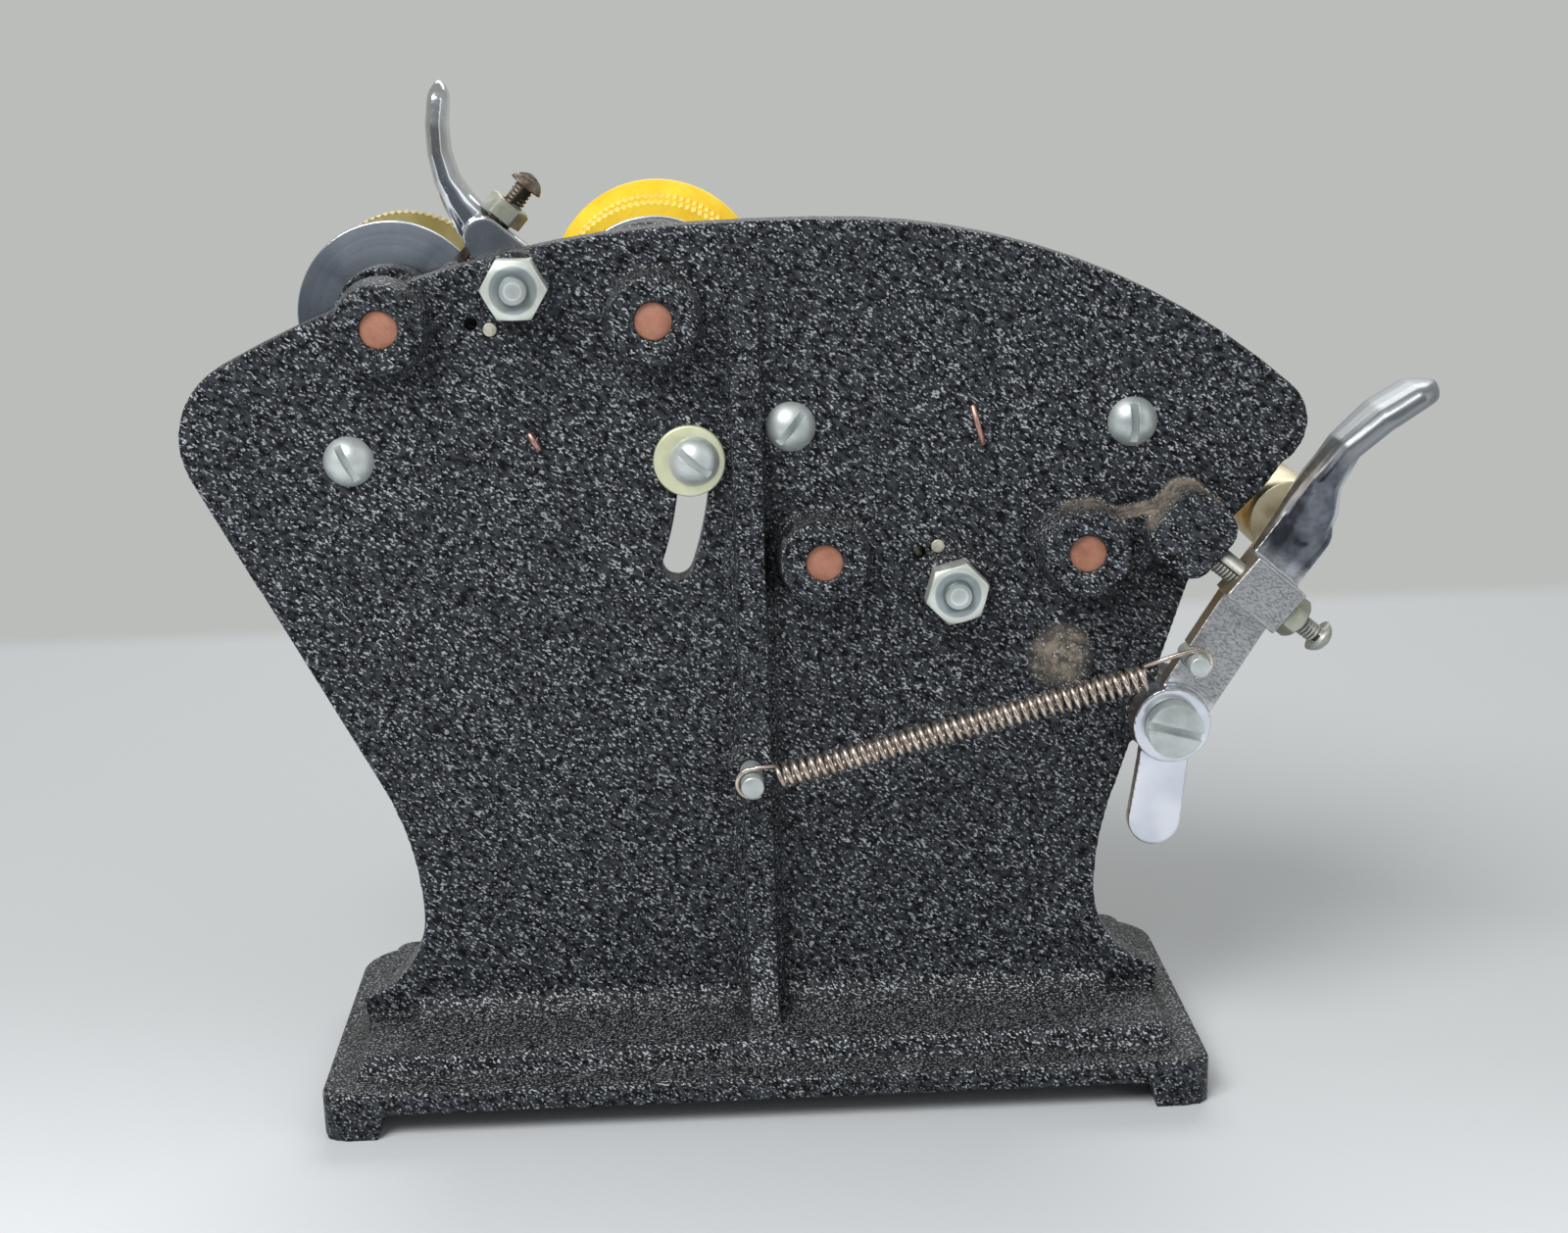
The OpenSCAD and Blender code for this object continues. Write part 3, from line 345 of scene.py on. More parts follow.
def chrome():
    """Polished plating with faint clouds and a few fine pits."""
    finish = Finish("chrome")
    cloud = finish.noise(120, 4, 0.6)
    pits = finish.noise(1300, 3, 0.7).ramp(0.62, 0.72)
    colour = finish.mix(cloud.ramp(0.35, 0.7) * 0.6 + pits * 0.4, rgb("#cdd1d6"), rgb("#9b978f"))
    roughness = 0.12 + cloud * 0.08 + pits * 0.2
    return finish.surface(base_color=colour, metallic=1.0, roughness=roughness,
                          normal=finish.bump(cloud + pits * -0.4, 0.06 * MM, 0.4))


def cast_chrome(pivot, line):
    """Chrome over a rough casting: flat on the tail, pebbled on the arm, with a dark reflection
    painted on the paddle and an amber one painted on faces that look left.
    """
    finish = Finish("cast_chrome")
    d = finish.along(pivot, line)  # from the pivot towards the finger grip
    arm = d.ramp(5 * MM, 8 * MM) * (1 - d.ramp(29 * MM, 35 * MM))
    back = (finish.facing("Y") * -1).ramp(0.8, 0.97)
    paddle = d.ramp(31 * MM, 35 * MM) * (1 - d.ramp(50 * MM, 55 * MM)) * back
    grip = d.ramp(48 * MM, 54 * MM)
    pebble = finish.noise(3000, 3, 0.6, 0, finish.strokes((1.8, 1, 1), (0, 0.5, 0)))
    mottle = finish.noise(330, 4, 0.65)
    cloud = finish.noise(90, 3)
    plate = finish.mix(cloud.ramp(0.35, 0.65), rgb("#c9cdd6"), rgb("#dfe2e8"))
    worn_arm = finish.mix(arm * 0.75, plate, rgb("#a9abaa"))
    grained = finish.mix(pebble.ramp(0.42, 0.66) * arm * 0.6, worn_arm, rgb("#62635f"))
    # Painted reflection: the paddle's face that looks back, along -Y, is painted dark, as the
    # room's dark reflection.
    dark = finish.mix(mottle.ramp(0.3, 0.7), rgb("#23272d"), rgb("#5c6269"))
    gripped = finish.mix(grip * 0.9, grained, rgb("#85898c"))
    # Painted reflection: faces that look left are tinted amber, as brass beside them would show in
    # the chrome.
    sides = (finish.facing("X") * -1).ramp(0.3, 0.9) * (1 - grip)
    with_painted_amber = finish.mix(sides * (0.4 + mottle * 0.6), gripped, rgb("#b7a282"))
    colour = finish.mix(paddle * 0.92, with_painted_amber, dark)
    roughness = 0.16 + arm * 0.2 + mottle * 0.1 + grip * 0.16
    return finish.surface(base_color=colour, metallic=0.9, roughness=roughness,
                          normal=finish.bump(pebble * arm + mottle * 0.1, 0.16 * MM, 0.8))


NUT_REACH = 5 * MM
# The light ring at 0.27 and the bright rim from 0.80 out are painted highlights, and the dark line
# at 0.45 is painted shade in the gap round the stud.
NUT_FACE = [  # shares of the reach, from the stud's middle out to the nut's rim
    (0.0, "#b9c2c2"), (0.22, "#c6cecc"), (0.27, "#e3e7e2"), (0.32, "#b4bebe"), (0.42, "#aab4b4"),
    (0.45, "#565d5c"), (0.49, "#8f9b9d"), (0.74, "#9ca7a9"), (0.80, "#dadfd6"), (1.0, "#cfd5ce"),
]


def nut_face(stud):
    """A plated nut and its stud's end: a dull washer face, a bright rim and a light ring painted
    as highlights, and a dark thread line painted as shade.
    """
    finish = Finish(f"nut_face_{stud[-1]}")
    grain = finish.noise(2600, 3, 0.6)
    cloud = finish.noise(300, 4, 0.6)
    colour = finish.bands(finish.radius(middle(stud)) * (1 / NUT_REACH), NUT_FACE)
    aged = finish.mix(cloud.ramp(0.45, 0.75) * 0.35, colour, rgb("#a8a68f"))
    return finish.surface(base_color=aged, metallic=0.6, roughness=0.3 + cloud * 0.15,
                          normal=finish.bump(grain, 0.04 * MM, 0.4))


def turned_steel(node):
    """A bright disc from a lathe, with the faint rings that its tool leaves."""
    finish = Finish(f"turned_{node}")
    cloud = finish.noise(150, 3)
    tooled = finish.rings(middle(node), 1400)
    broad = finish.rings(middle(node), 160)
    shine = cloud.ramp(0.3, 0.7) * 0.5 + broad.ramp(0.4, 0.6) * 0.5
    colour = finish.mix(shine, rgb("#a3abb5"), rgb("#cfd4d9"))
    return finish.surface(base_color=colour, metallic=1.0, roughness=0.13 + tooled * 0.16,
                          normal=finish.bump(tooled, 0.03 * MM, 0.3))


def browned_steel():
    finish = Finish("browned_steel")
    cloud = finish.noise(500, 4, 0.65)
    colour = finish.mix(cloud.ramp(0.35, 0.65), rgb("#5a4a40"), rgb("#8d8177"))
    return finish.surface(base_color=colour, metallic=0.75, roughness=0.42 + cloud * 0.2,
                          normal=finish.bump(cloud, 0.08 * MM, 0.5))


# %% Bronze, brass, copper and spring wire


def sintered_bronze():
    finish = Finish("sintered_bronze")
    grain = finish.noise(3200, 3, 0.7)
    stain = finish.noise(240, 4, 0.6)
    bright = finish.mix(stain.ramp(0.3, 0.7), rgb("#97654f"), rgb("#b5806a"))
    colour = finish.mix(grain.ramp(0.5, 0.75) * 0.5, bright, rgb("#7a4a3b"))
    return finish.surface(base_color=colour, metallic=0.35, roughness=0.62,
                          normal=finish.bump(grain, 0.06 * MM, 0.5))


def brass(name, light, dark, rough):
    finish = Finish(name)
    tarnish = finish.noise(110, 4, 0.6)
    grain = finish.noise(2200, 2)
    colour = finish.mix(tarnish.ramp(0.35, 0.7), rgb(light), rgb(dark))
    return finish.surface(base_color=colour, metallic=0.9, roughness=rough + tarnish * 0.2,
                          normal=finish.bump(grain, 0.03 * MM, 0.3))


def copper():
    finish = Finish("copper")
    tarnish = finish.noise(900, 3)
    colour = finish.mix(tarnish, rgb("#b07f72"), rgb("#dcb0a2"))
    return finish.surface(base_color=colour, metallic=0.9, roughness=0.4)


def spring_wire():
    finish = Finish("spring_wire")
    stain = finish.noise(260, 4, 0.65)
    speck = finish.noise(1800, 3)
    base = finish.mix(stain.ramp(0.35, 0.65), rgb("#bfae9f"), rgb("#ece2d6"))
    colour = finish.mix(speck.ramp(0.55, 0.75) * 0.5, base, rgb("#8a6250"))
    return finish.surface(base_color=colour, metallic=0.9, roughness=0.16 + speck * 0.12,
                          normal=finish.bump(speck, 0.04 * MM, 0.4))


def yellow_plastic():
    """Moulded plastic, a little translucent, with a fine brown stain."""
    finish = Finish("yellow_plastic")
    cloud = finish.noise(130, 4, 0.6)
    fine = finish.noise(1500, 2)
    colour = finish.mix(cloud.ramp(0.3, 0.75), rgb("#f8c60f"), rgb("#ffdc3c"))
    worn = finish.mix(fine.ramp(0.58, 0.8) * 0.35, colour, rgb("#c98d0c"))
    return finish.surface(base_color=worn, roughness=0.42 + cloud * 0.15, ior=1.48,
                          subsurface_weight=0.15,
                          subsurface_radius=(2 * MM, 1.2 * MM, 0.4 * MM),
                          normal=finish.bump(fine, 0.08 * MM, 0.3))


# %% Dress the solids that already have the right shape
LEVER_PIVOT = middle("side_pivot_screw")
LEVER_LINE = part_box("side_lever")[1] - LEVER_PIVOT
LEVER_LINE.y = 0
LEVER_LINE.normalize()
print("side lever leans", round(math.degrees(math.atan2(LEVER_LINE.x, LEVER_LINE.z))), "degrees")
FINISHES = {
    "enamel": wrinkle_enamel(),
    "zinc": zinc("zinc", "#d3dad7", "#a3acab"),
    "washer_zinc": zinc("washer_zinc", "#e6e8ca", "#c8caa6", 90, 0.4),
    "nut_zinc": zinc("nut_zinc", "#bfc1b2", "#86887a", 200, 0.3),
    "cream_steel": zinc("cream_steel", "#dcd8c6", "#9a978a", 700, 0.4),
    "dull_steel": zinc("dull_steel", "#b9bbb5", "#8b8d83", 120, 0.36),
    "chrome": chrome(),
    "cast_chrome": cast_chrome(LEVER_PIVOT, LEVER_LINE),
    "browned_steel": browned_steel(),
    "bronze": sintered_bronze(),
    "thread_valley_shade": zinc("thread_valley_shade", "#4b4640", "#2b2824", 300, 0.5),
    "brass": brass("brass", "#dccb92", "#b39f5e", 0.24),
    "worn_brass": brass("worn_brass", "#d6ccb0", "#ab9a72", 0.4),
    "copper": copper(),
    "spring_wire": spring_wire(),
    "yellow": yellow_plastic(),
}
FLANGES = ["flange_1", "flange_2", "flange_3", "flange_4"]
for flange in FLANGES:
    FINISHES[flange] = turned_steel(flange)
for station in (1, 2):
    FINISHES[f"nut_face_{station}"] = nut_face(f"lever_stud_{station}")
WORN_BY = {
    "enamel": ["stand_casting", "stand_base"],
    "bronze": ["axle_1", "axle_2", "axle_3", "axle_4"],
    "nut_zinc": ["stop_nut_1", "stop_nut_2", "side_stop_nut"],
    "worn_brass": ["side_roller"],
    "brass": ["brass_disc_1", "brass_disc_3"],
    "yellow": ["yellow_wheel_2", "yellow_wheel_4"],
    "copper": ["wire_guide_1", "wire_guide_2"],
    "spring_wire": ["tension_spring", "thumb_spring_1", "thumb_spring_2"],
    "nut_face_1": ["lever_nut_1", "lever_stud_1"],
    "nut_face_2": ["lever_nut_2", "lever_stud_2"],
    "cream_steel": ["dowel_1", "dowel_2"],
    "washer_zinc": ["slot_washer"],
    "chrome": ["thumb_lever_1", "thumb_lever_2"],
    "cast_chrome": ["side_lever"],
    "dull_steel": ["drum_1", "drum_3", "presser_arm_1", "presser_arm_2",
                   "guide_rail_1", "guide_rail_2", "roller_pin"],
    "browned_steel": ["stop_screw_1", "stop_screw_2"],
}
finish_of = {node: finish for finish, names in WORN_BY.items() for node in names}
finish_of.update({flange: flange for flange in FLANGES})
for name, node in nodes.items():
    node.data.materials.clear()
    node.data.materials.append(FINISHES[finish_of.get(name, "zinc")])
print(len(nodes), "solids dressed in", len(FINISHES), "finishes")

# %% [markdown]
# A casting has no sharp edge anywhere: the pattern is rounded so that it leaves the sand, and
# the paint rounds it further. A voxel remesh of the solid, smoothed a few times, turns every
# crisp meeting of two faces into a soft fillet, inside corners and outside corners alike.
# The same treatment at a finer grain suits levers that were cast and then polished by hand.

# %% Soften a solid


def merged_copy(node, name):
    """A copy of a solid's mesh, with its loose triangles welded."""
    mesh = nodes[node].data.copy()
    mesh.name = name
    work = bmesh.new()
    work.from_mesh(mesh)
    bmesh.ops.remove_doubles(work, verts=work.verts, dist=1e-6)
    work.to_mesh(mesh)
    work.free()
    return add(name, mesh)


def settle(piece):
    """Applies a piece's modifiers, so that a plain mesh is left."""
    graph = bpy.context.evaluated_depsgraph_get()
    mesh = bpy.data.meshes.new_from_object(piece.evaluated_get(graph))
    piece.modifiers.clear()
    piece.data = mesh
    return piece


def combine(piece, tool, operation):
    """Joins a tool to a piece or cuts it out of the piece, and then drops the tool."""
    solver = piece.modifiers.new("combine", "BOOLEAN")
    solver.operation = operation
    solver.solver = "EXACT"
    solver.object = tool
    settle(piece)
    bpy.data.objects.remove(tool)


def soften(node, name, voxel, rounds, joined=(), most=190_000):
    """Rounds every edge of a solid by a fine voxel remesh, then thins it to the most triangles."""
    piece = merged_copy(node, name)
    for half in joined:
        combine(piece, half, "UNION")
    remesh = piece.modifiers.new("remesh", "REMESH")
    remesh.mode = "VOXEL"
    remesh.voxel_size = voxel
    smooth = piece.modifiers.new("smooth", "SMOOTH")
    smooth.factor = 0.5
    smooth.iterations = rounds
    settle(piece)
    full = 2 * len(piece.data.polygons)
    if full > most:
        thin = piece.modifiers.new("thin", "DECIMATE")
        thin.ratio = most / full
        settle(piece)
    piece.data.shade_smooth()
    print(name, "has", len(piece.data.polygons), "faces, from", full, "triangles")
    return piece


def stand_for(piece, body, finish, slot, *replaced):
    """Gives a new piece its finish, its body and the solids that it stands for."""
    piece.data.materials.clear()
    piece.data.materials.append(FINISHES[finish])
    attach(piece, body)
    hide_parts(*replaced)


def cylinder(name, start, end, radius, sides=32):
    """A closed round bar between two points, for cutting and filling."""
    line = end - start
    mesh = bpy.data.meshes.new(name)
    work = bmesh.new()
    turn = line.to_track_quat("Z", "Y").to_matrix().to_4x4()
    place = Matrix.Translation((start + end) / 2) @ turn
    bmesh.ops.create_cone(work, cap_ends=True, segments=sides, radius1=radius, radius2=radius,
                          depth=line.length, matrix=place)
    work.to_mesh(mesh)
    work.free()
    return add(name, mesh)


def round_tip(piece, towards, radius):
    """Draws the end of a finger piece in to a dome. Its line runs up from a slab just below."""
    spots = [v.co.copy() for v in piece.data.vertices]
    reach = max(p.dot(towards) for p in spots)
    end = [p for p in spots if p.dot(towards) > reach - 0.4 * radius]
    centre = sum(end, Vector()) / len(end)
    below = [p for p in spots if reach - 3 * radius < p.dot(towards) < reach - 2.5 * radius]
    below = [p for p in below if (p - centre).length < 6 * radius]
    line = (centre - sum(below, Vector()) / len(below)).normalized()
    near = [v for v in piece.data.vertices if (v.co - centre).length < 4 * radius]
    top = max(v.co.dot(line) for v in near)
    for vertex in near:
        down = top - vertex.co.dot(line)
        if down < radius:
            out = vertex.co - centre
            out -= line * out.dot(line)
            kept = math.sqrt(max(0.02, 1 - (1 - down / radius) ** 2))
            vertex.co -= out * (1 - kept)


# %% The casting and the thumb levers
# Station 2 is station 1 turned upside down, so its hole and its horn point the other way.
CAST_GRAIN = 0.5 * MM
LEVER_GRAIN = 0.25 * MM
UPWARD = {1: 1, 2: -1}
HOLE_BESIDE = -3.1
HOLE_RADIUS = 1.1 * MM
HOLE_FROM, HOLE_TO = Vector((0, -4, 0)) * MM, Vector((0, 16, 0)) * MM
casting = soften("stand_casting", "enamelled_casting", CAST_GRAIN, 4,
                 [merged_copy("stand_base", "base_half")])
for station, up_sign in UPWARD.items():
    mouth = on_plate(f"dowel_{station}", HOLE_BESIDE, up_sign)
    drill = cylinder("drill", mouth + HOLE_FROM, mouth + HOLE_TO, HOLE_RADIUS)
    combine(casting, drill, "DIFFERENCE")
casting.data.shade_smooth()
stand_for(casting, "stand", "enamel", "black_wrinkle_iron", "stand_casting", "stand_base")
for station, up_sign in UPWARD.items():
    horn = soften(f"thumb_lever_{station}", f"polished_thumb_lever_{station}",
                  LEVER_GRAIN, 6, most=60_000)
    round_tip(horn, Vector((0, 0, up_sign)), 2.2 * MM)
    stand_for(horn, f"thumb_{station}", "chrome", "chrome", f"thumb_lever_{station}")

# %% The side lever, with the bore for its roller's pin filled flush
PLUG_RADIUS = 2.3 * MM
PLUG_DEPTH = 2.5 * MM
GRIP_FROM, GRIP_FULL, GRIP_SWELL = 50 * MM, 62 * MM, 0.8 * MM


def face_beside(node, x, z):
    """Where a line from behind the stand first meets a node."""
    hit, place, _, _ = nodes[node].ray_cast((x, -1, z), (0, 1, 0))
    return place.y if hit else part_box(node)[0].y


def grip_share(place):
    """0 on the arm and the paddle, rising to 1 over the finger grip."""
    reach = (place - LEVER_PIVOT).dot(LEVER_LINE)
    return min(1, max(0, (reach - GRIP_FROM) / (GRIP_FULL - GRIP_FROM)))


pin = merged_copy("roller_pin", "joined_pin")
pin_at = middle("roller_pin")
paddle_face = face_beside("side_lever", pin_at.x - 3.5 * MM, pin_at.z)
plug_end = Vector((pin_at.x, paddle_face + 0.05 * MM, pin_at.z))
plug = cylinder("plug", plug_end, plug_end + Vector((0, PLUG_DEPTH, 0)), PLUG_RADIUS)
for vertex in plug.data.vertices:
    if vertex.co.y < paddle_face + MM:
        vertex.co.y = face_beside("side_lever", vertex.co.x, vertex.co.z) + 0.02 * MM
lever = soften("side_lever", "polished_side_lever", LEVER_GRAIN, 4, [plug, pin], 90_000)
swell = [v.normal * GRIP_SWELL * grip_share(v.co) for v in lever.data.vertices]
for vertex, shift in zip(lever.data.vertices, swell):
    vertex.co += shift
round_tip(lever, LEVER_LINE, 2.6 * MM)
stand_for(lever, "side", "cast_chrome", "chrome", "side_lever", "roller_pin")

# %% [markdown]
# Turned and stamped parts have crisp edges, but never knife edges. A bevel of a tenth or two
# of a millimetre catches the lamp as a bright line, which is how the eye tells machined metal.
# Flat faces are merged first, so that the bevel runs along true edges only.

# %% Edge the small hardware
FLAT_WITHIN = math.radians(1.2)
SHARP_FROM = math.radians(36)
BEVEL_FROM = math.radians(38)
WIRE_SWELL = 0.16 * MM
BODY_OF = {node: body for body, kept in frame["record"]["behaviour"]["bodies"].items()
           for node in kept}
SLOT_OF = {part["node"]: part["material_slot"] for part in frame["record"]["subparts"]}
EDGES = {
    0.35: ["lever_nut_1", "lever_nut_2", "slot_washer", "side_pivot_screw", "rib_post"],
    0.22: ["flange_1", "flange_2", "flange_3", "flange_4", "lever_stud_1", "lever_stud_2",
           "dowel_1", "dowel_2", "stop_nut_1", "stop_nut_2", "side_stop_nut", "side_roller",
           "side_post"],
    0.12: ["rail_screw_2a", "rail_screw_2b", "rail_screw_1b", "axle_1", "axle_2", "axle_3",
           "axle_4", "guide_rail_1", "guide_rail_2", "drum_1", "drum_3"],
}


def edge(node, width):
    """Stands a bevelled copy in for a node."""
    piece = merged_copy(node, f"edged_{node}")
    work = bmesh.new()
    work.from_mesh(piece.data)
    bmesh.ops.dissolve_limit(work, angle_limit=FLAT_WITHIN, verts=work.verts, edges=work.edges)
    work.to_mesh(piece.data)
    work.free()
    bevel = piece.modifiers.new("bevel", "BEVEL")
    bevel.width = width
    bevel.segments = 2
    bevel.limit_method = "ANGLE"
    bevel.angle_limit = BEVEL_FROM
    settle(piece)
    piece.data.shade_smooth()
    piece.data.set_sharp_from_angle(angle=SHARP_FROM)
    stand_for(piece, BODY_OF[node], finish_of.get(node, "zinc"), SLOT_OF[node], node)


for station in (1, 2):
    wire = merged_copy(f"wire_guide_{station}", f"bent_wire_{station}")
    for vertex in wire.data.vertices:
        vertex.co += vertex.normal * WIRE_SWELL
    wire.data.shade_smooth()
    stand_for(wire, "stand", "copper", "copper", f"wire_guide_{station}")
edged = [(node, width) for width, kept in EDGES.items() for node in kept]
for node, width in edged:
    edge(node, width * MM)
print(len(edged), "small parts edged")

# %% [markdown]
# Threads and springs follow a rule, so Geometry Nodes make them. A screw thread is a spiral
# curve round a core, and a spring is a wire swept along a path. A tree is built once, with
# named inputs for its sizes, and each piece sets its own values on the modifier.

# %% A tree that sweeps a wire along a curve


def new_tree(name, numbers, geometry_in):
    """A node tree with named number inputs, and its input and output nodes."""
    tree = bpy.data.node_groups.new(name, "GeometryNodeTree")
    if geometry_in:
        tree.interface.new_socket("Geometry", in_out="INPUT", socket_type="NodeSocketGeometry")
    for label in numbers:
        tree.interface.new_socket(label, in_out="INPUT", socket_type="NodeSocketFloat")
    tree.interface.new_socket("Material", in_out="INPUT", socket_type="NodeSocketMaterial")
    tree.interface.new_socket("Geometry", in_out="OUTPUT", socket_type="NodeSocketGeometry")
    return tree, tree.nodes.new("NodeGroupInput"), tree.nodes.new("NodeGroupOutput")


def finish_tree(tree, source, output, geometry):
    """Smooths, realizes and colours the tree's geometry."""
    smooth = tree.nodes.new("GeometryNodeSetShadeSmooth")
    realize = tree.nodes.new("GeometryNodeRealizeInstances")
    paint = tree.nodes.new("GeometryNodeSetMaterial")
    tree.links.new(geometry, smooth.inputs["Geometry"])
    tree.links.new(smooth.outputs[0], realize.inputs["Geometry"])
    tree.links.new(realize.outputs[0], paint.inputs["Geometry"])
    tree.links.new(source.outputs["Material"], paint.inputs["Material"])
    tree.links.new(paint.outputs[0], output.inputs["Geometry"])


def wire_tree(sides):
    """Sweeps a round profile along the curve that comes in."""
    tree, source, output = new_tree("wire_along_curve", ["Radius"], True)
    profile = tree.nodes.new("GeometryNodeCurvePrimitiveCircle")
    profile.inputs["Resolution"].default_value = sides
    sweep = tree.nodes.new("GeometryNodeCurveToMesh")
    sweep.inputs["Fill Caps"].default_value = True
    tree.links.new(source.outputs["Radius"], profile.inputs["Radius"])
    tree.links.new(source.outputs["Geometry"], sweep.inputs["Curve"])
    tree.links.new(profile.outputs["Curve"], sweep.inputs["Profile Curve"])
    finish_tree(tree, source, output, sweep.outputs["Mesh"])
    return tree


def thread_tree(sides, steps):
    """Sweeps a ridge along a spiral. The steps are the points in each turn of the spiral."""
    tree, source, output = new_tree("screw_thread", ["Turns", "Core", "Length", "Depth"], False)
    spiral = tree.nodes.new("GeometryNodeCurveSpiral")
    spiral.inputs["Resolution"].default_value = steps
    ridge = tree.nodes.new("GeometryNodeCurvePrimitiveCircle")
    ridge.inputs["Resolution"].default_value = sides
    sweep = tree.nodes.new("GeometryNodeCurveToMesh")
    sweep.inputs["Fill Caps"].default_value = True
    for end in ("Start Radius", "End Radius"):
        tree.links.new(source.outputs["Core"], spiral.inputs[end])
    tree.links.new(source.outputs["Turns"], spiral.inputs["Rotations"])
    tree.links.new(source.outputs["Length"], spiral.inputs["Height"])
    tree.links.new(source.outputs["Depth"], ridge.inputs["Radius"])
    tree.links.new(spiral.outputs["Curve"], sweep.inputs["Curve"])
    tree.links.new(ridge.outputs["Curve"], sweep.inputs["Profile Curve"])
    finish_tree(tree, source, output, sweep.outputs["Mesh"])
    return tree


def grow(name, tree, finish, curve=None, **numbers):
    """Runs a tree with these input values and keeps the result as a plain mesh."""
    seed = add(name, curve or bpy.data.meshes.new(name))
    modifier = seed.modifiers.new("grow", "NODES")
    modifier.node_group = tree
    for item in tree.interface.items_tree:
        if item.in_out == "INPUT" and item.name in numbers:
            modifier[item.identifier] = float(numbers[item.name])
        if item.in_out == "INPUT" and item.name == "Material":
            modifier[item.identifier] = FINISHES[finish]
    graph = bpy.context.evaluated_depsgraph_get()
    mesh = bpy.data.meshes.new_from_object(seed.evaluated_get(graph))
    bpy.data.objects.remove(seed)
    print(name, "has", len(mesh.polygons), "faces")
    return add(name, mesh)


WIRE = wire_tree(10)
THREAD = thread_tree(6, 22)

# %% [markdown]
# The tension spring is one wire: a hook round the post on the rib, 44 close turns, and a hook
# round the post on the lever. It stretches when the lever opens.

# %% Tension spring
COIL_TURNS = 44
COIL_DIAMETER = 4.6 * MM
WIRE_DIAMETER = 0.78 * MM
COIL_STEPS = 20
HOOK_GAP = 0.2 * MM
HOOK_STEPS = 16
HOOK_STEP = 15
NEAR_HOOK_LENGTH = 4.6 * MM
FAR_HOOK_LENGTH = 8.4 * MM


def polyline(name, points):
    """A curve that runs straight from point to point."""
    curve = bpy.data.curves.new(name, "CURVE")
    curve.dimensions = "3D"
    spline = curve.splines.new("POLY")
    spline.points.add(len(points) - 1)
    for slot, point in zip(spline.points, points):
        slot.co = (*point, 1)
    return curve


def post_end(node):
    """The middle of a post, as deep as the spring's axis lies, and the post's radius."""
    low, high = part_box(node)
    depth = (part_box("tension_spring")[0].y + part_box("tension_spring")[1].y) / 2
    return Vector(((low.x + high.x) / 2, depth, (low.z + high.z) / 2)), (high.x - low.x) / 2


def spring_path():
    """Hook, coils and hook as one line of points, and the two posts' places."""
    start, near_radius = post_end("rib_post")
    end, far_radius = post_end("side_post")
    along = (end - start).normalized()
    length = (end - start).length
    across = Vector((-along.z, 0, along.x))
    outward = Vector((0, 1, 0))
    coil_radius = (COIL_DIAMETER - WIRE_DIAMETER) / 2
    near = near_radius + WIRE_DIAMETER / 2 + HOOK_GAP
    far = far_radius + WIRE_DIAMETER / 2 + HOOK_GAP

    def at(d, side, out=0.0):
        return start + along * d + across * side + outward * out

    path = []
    for step in range(HOOK_STEPS):
        angle = math.radians(-70 - HOOK_STEP * step)
        path.append(at(near * math.cos(angle), near * math.sin(angle)))
    path.append(at(1.4 * MM, near * 0.98))
    pitch = (length - FAR_HOOK_LENGTH - NEAR_HOOK_LENGTH) / COIL_TURNS
    for step in range(COIL_TURNS * COIL_STEPS + 1):
        angle = math.radians(90 + 360 * step / COIL_STEPS)
        d = NEAR_HOOK_LENGTH + pitch * step / COIL_STEPS
        path.append(at(d, coil_radius * math.sin(angle), coil_radius * math.cos(angle)))
    path.append(at(length - 3 * MM, far))
    for step in range(HOOK_STEPS - 1):
        angle = math.radians(96 - HOOK_STEP * step)
        path.append(at(length + far * math.cos(angle), far * math.sin(angle)))
    return path, start, end


spring_points, spring_start, spring_end = spring_path()
spring = grow("coiled_tension_spring", WIRE, "spring_wire",
              polyline("spring_path", spring_points), Radius=WIRE_DIAMETER / 2)
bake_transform(spring)
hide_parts("tension_spring")

# %% [markdown]
# The three stop screws are set through their levers and locked by nuts. Their threads show, so
# each gets a spiral ridge round its own shank. The shank's line is found from the solid: the
# middles of its two ends give the screw's direction.

# %% Threads of the stop screws
THREAD_PITCH = 0.7 * MM
THREAD_DEPTH = 0.3 * MM
SHANK_RADIUS = 1.7 * MM
HEAD_HEIGHT = 2.4 * MM
HEAD_SEARCH = 4 * MM
END_SLAB = 0.1 * MM


def end_middle(points, centre, axis):
    """The middle of the points that lie furthest along an axis."""
    reach = max((p - centre).dot(axis) for p in points)
    rim = [p for p in points if (p - centre).dot(axis) > reach - END_SLAB]
    return sum(rim, Vector()) / len(rim)


def long_axis(node):
    """The middles of the two ends of a long screw, from its own corners."""
    piece = merged_copy(node, "scratch")
    points = [v.co.copy() for v in piece.data.vertices]
    bpy.data.objects.remove(piece)
    centre = sum(points, Vector()) / len(points)
    far = max(points, key=lambda p: (p - centre).length)
    for _ in range(6):
        axis = (far - centre).normalized()
        far = end_middle(points, centre, axis)
    return far, end_middle(points, centre, -axis)


def width_at(node, end):
    """How far the corners near one end of a screw lie from its middle."""
    gaps = [(v.co - end).length for v in nodes[node].data.vertices]
    return max(gap for gap in gaps if gap < HEAD_SEARCH)


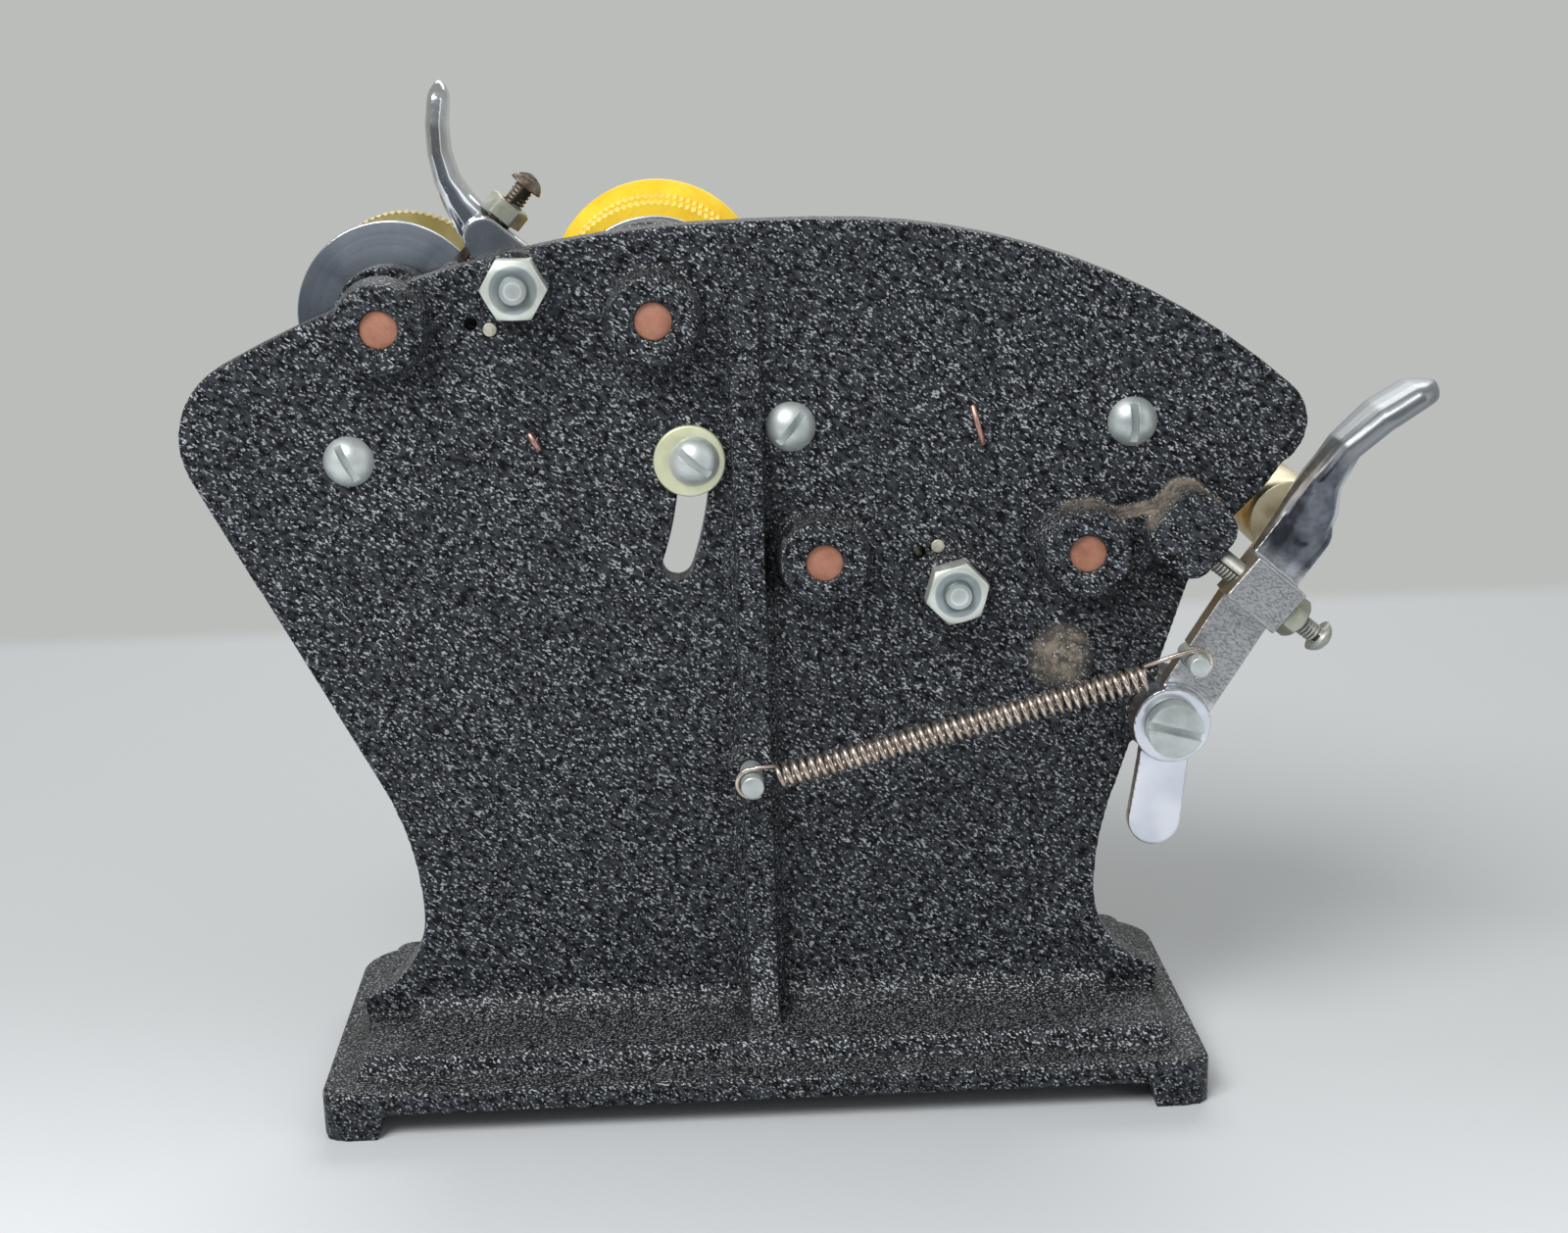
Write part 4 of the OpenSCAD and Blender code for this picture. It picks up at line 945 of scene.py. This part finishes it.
def thread_on(node, body, finish, slot, longer=0.0):
    """Turns a plain screw into a threaded one, and backs its head off by the extra length."""
    a, b = long_axis(node)
    head, tip = (a, b) if width_at(node, a) > width_at(node, b) else (b, a)
    direction = (head - tip).normalized()
    length = (head - tip).length - HEAD_HEIGHT
    screw = merged_copy(node, f"threaded_{node}")
    for vertex in screw.data.vertices:
        reach = (vertex.co - tip).dot(direction)
        out = vertex.co - tip - direction * reach
        if out.length < SHANK_RADIUS * 1.05:
            vertex.co -= out * (THREAD_DEPTH * 0.9 / SHANK_RADIUS)
        if reach > length - 0.4 * MM:
            vertex.co += direction * longer
    screw.data.shade_smooth()
    screw.data.set_sharp_from_angle(angle=SHARP_FROM)
    stand_for(screw, body, finish, slot, node)
    # Painted shade: the shank between the thread's turns gets a darker finish than the thread.
    screw.data.materials.append(FINISHES["thread_valley_shade"])
    for face in screw.data.polygons:
        off = face.center - tip
        off -= direction * off.dot(direction)
        face.material_index = int(0.5 * SHANK_RADIUS < off.length < SHANK_RADIUS)
    thread = grow(f"{node}_thread", THREAD, finish, Turns=(length + longer) / THREAD_PITCH,
                  Core=SHANK_RADIUS - THREAD_DEPTH, Length=length + longer, Depth=THREAD_DEPTH)
    turn = direction.to_track_quat("Z", "Y").to_matrix().to_4x4()
    thread.data.transform(Matrix.Translation(tip) @ turn)
    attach(thread, body)
    print(node, "is", round(length / MM, 1), "mm under its head")


thread_on("stop_screw_1", "thumb_1", "browned_steel", "browned_steel")
thread_on("stop_screw_2", "thumb_2", "browned_steel", "browned_steel")
thread_on("side_stop_screw", "side", "dull_steel", "zinc_steel", 3.2 * MM)

# %% [markdown]
# The stand is shown on a plain pale bench in soft light. One large lamp over the left shoulder
# makes glints off the bumped ridges, beside the pale glints painted into the enamel's colour,
# and lets the bosses throw short shadows to the right. A weak lamp on the right
# opens the shadows, and one beyond the stand lights its crown. The world is pale for the camera
# and for what polished metal mirrors, and dimmer as a source of light.

# %% Bench and light
BENCH_BEYOND = 0.307
BENCH_FADE = 0.012
BENCH_REACH = 3.0
CARD_REACH, CARD_HEIGHT, CARD_BEFORE = 0.5, 0.45, 0.33


def panel(name, corners, finish):
    """A flat stage piece with four corners."""
    mesh = bpy.data.meshes.new(name)
    mesh.from_pydata(corners, [], [(0, 1, 2, 3)])
    mesh.materials.append(finish)
    piece = add(name, mesh)
    return piece


def bench():
    """A cloth-covered top, painted darker towards the back and a little to the right as shade. It
    fades out beyond the stand, and the pale room shows past it.
    """
    finish = Finish("bench_cloth")
    away = finish.along((0, origin.y + BENCH_BEYOND, 0), (0, 1, 0))
    # Painted shade: the cloth darkens towards the back and a little to the right.
    shade = finish.along((0, -0.08, 0), (0.15, 1, 0)).ramp(-0.12, 0.11)
    colour = finish.mix(shade, rgb("#f6f9fe"), rgb("#bfc3c5"))
    weave = finish.noise(700, 3, 0.6)
    cloth = finish.surface(base_color=colour, roughness=0.8,
                           alpha=1 - away.ramp(-BENCH_FADE, BENCH_FADE),
                           normal=finish.bump(weave, 0.2 * MM, 0.2))
    size, far = BENCH_REACH, origin.y + BENCH_BEYOND + BENCH_FADE
    panel("bench", [(-size, -size, 0), (size, -size, 0), (size, far, 0), (-size, far, 0)], cloth)


def dark_card():
    """A dark board near the camera. Only polished metal sees it, as it would see a dark coat."""
    finish = Finish("dark_cloth")
    height = finish.along((0, 0, 0), (0, 0, 1))
    shade = finish.mix(height.ramp(0.05, 0.4), rgb("#4d535b"), rgb("#a9adb2"))
    glow = finish.surface(base_color=(0, 0, 0, 1), emission_color=shade, emission_strength=1.0)
    wide, high, near = CARD_REACH, CARD_HEIGHT, origin.y - CARD_BEFORE
    card = panel("dark_card", [(-wide, near, 0), (wide, near, 0), (wide, near, high),
                               (-wide, near, high)], glow)
    card.visible_camera = False
    card.visible_diffuse = False
    card.visible_shadow = False
    card.visible_transmission = False


def area_lamp(name, place, target, size, power):
    """A rectangular lamp, sized in metres and as strong as its power in watts."""
    light = bpy.data.lights.new(name, "AREA")
    light.shape = "RECTANGLE"
    light.size, light.size_y = size
    light.energy = power
    lamp = add(name, light)
    lamp.location = place
    lamp.rotation_euler = (Vector(target) - Vector(place)).to_track_quat("-Z", "Y").to_euler()


def background(tree, code, strength):
    made = tree.nodes.new("ShaderNodeBackground")
    made.inputs["Color"].default_value = rgb(code)
    made.inputs["Strength"].default_value = strength
    return made.outputs[0]


def pale_world():
    """A room with one brightness for what is seen or mirrored and another for what it lights."""
    world = bpy.data.worlds.new("room")
    world.use_nodes = True
    bpy.context.scene.world = world
    tree = world.node_tree
    tree.nodes.clear()
    path = tree.nodes.new("ShaderNodeLightPath")
    seen = path.outputs["Is Camera Ray"]
    for ray in ("Is Glossy Ray", "Is Transmission Ray"):
        either = tree.nodes.new("ShaderNodeMath")
        either.operation = "MAXIMUM"
        tree.links.new(seen, either.inputs[0])
        tree.links.new(path.outputs[ray], either.inputs[1])
        seen = either.outputs[0]
    blend = tree.nodes.new("ShaderNodeMixShader")
    tree.links.new(seen, blend.inputs["Fac"])
    tree.links.new(background(tree, "#c9c9c8", 0.42), blend.inputs[1])
    tree.links.new(background(tree, "#bbbdba", 1.0), blend.inputs[2])
    output = tree.nodes.new("ShaderNodeOutputWorld")
    tree.links.new(blend.outputs[0], output.inputs["Surface"])


bench()
dark_card()
pale_world()
area_lamp("window", (-0.42, -0.62, 0.9), (0, 0, 0.08), (0.6, 0.5), 11)
area_lamp("fill", (0.7, -0.6, 0.4), (0, 0, 0.08), (0.8, 0.8), 2)
area_lamp("back", (0.1, 0.7, 0.7), (0, 0, 0.1), (0.8, 0.4), 4)
bpy.context.scene.view_settings.view_transform = "Standard"
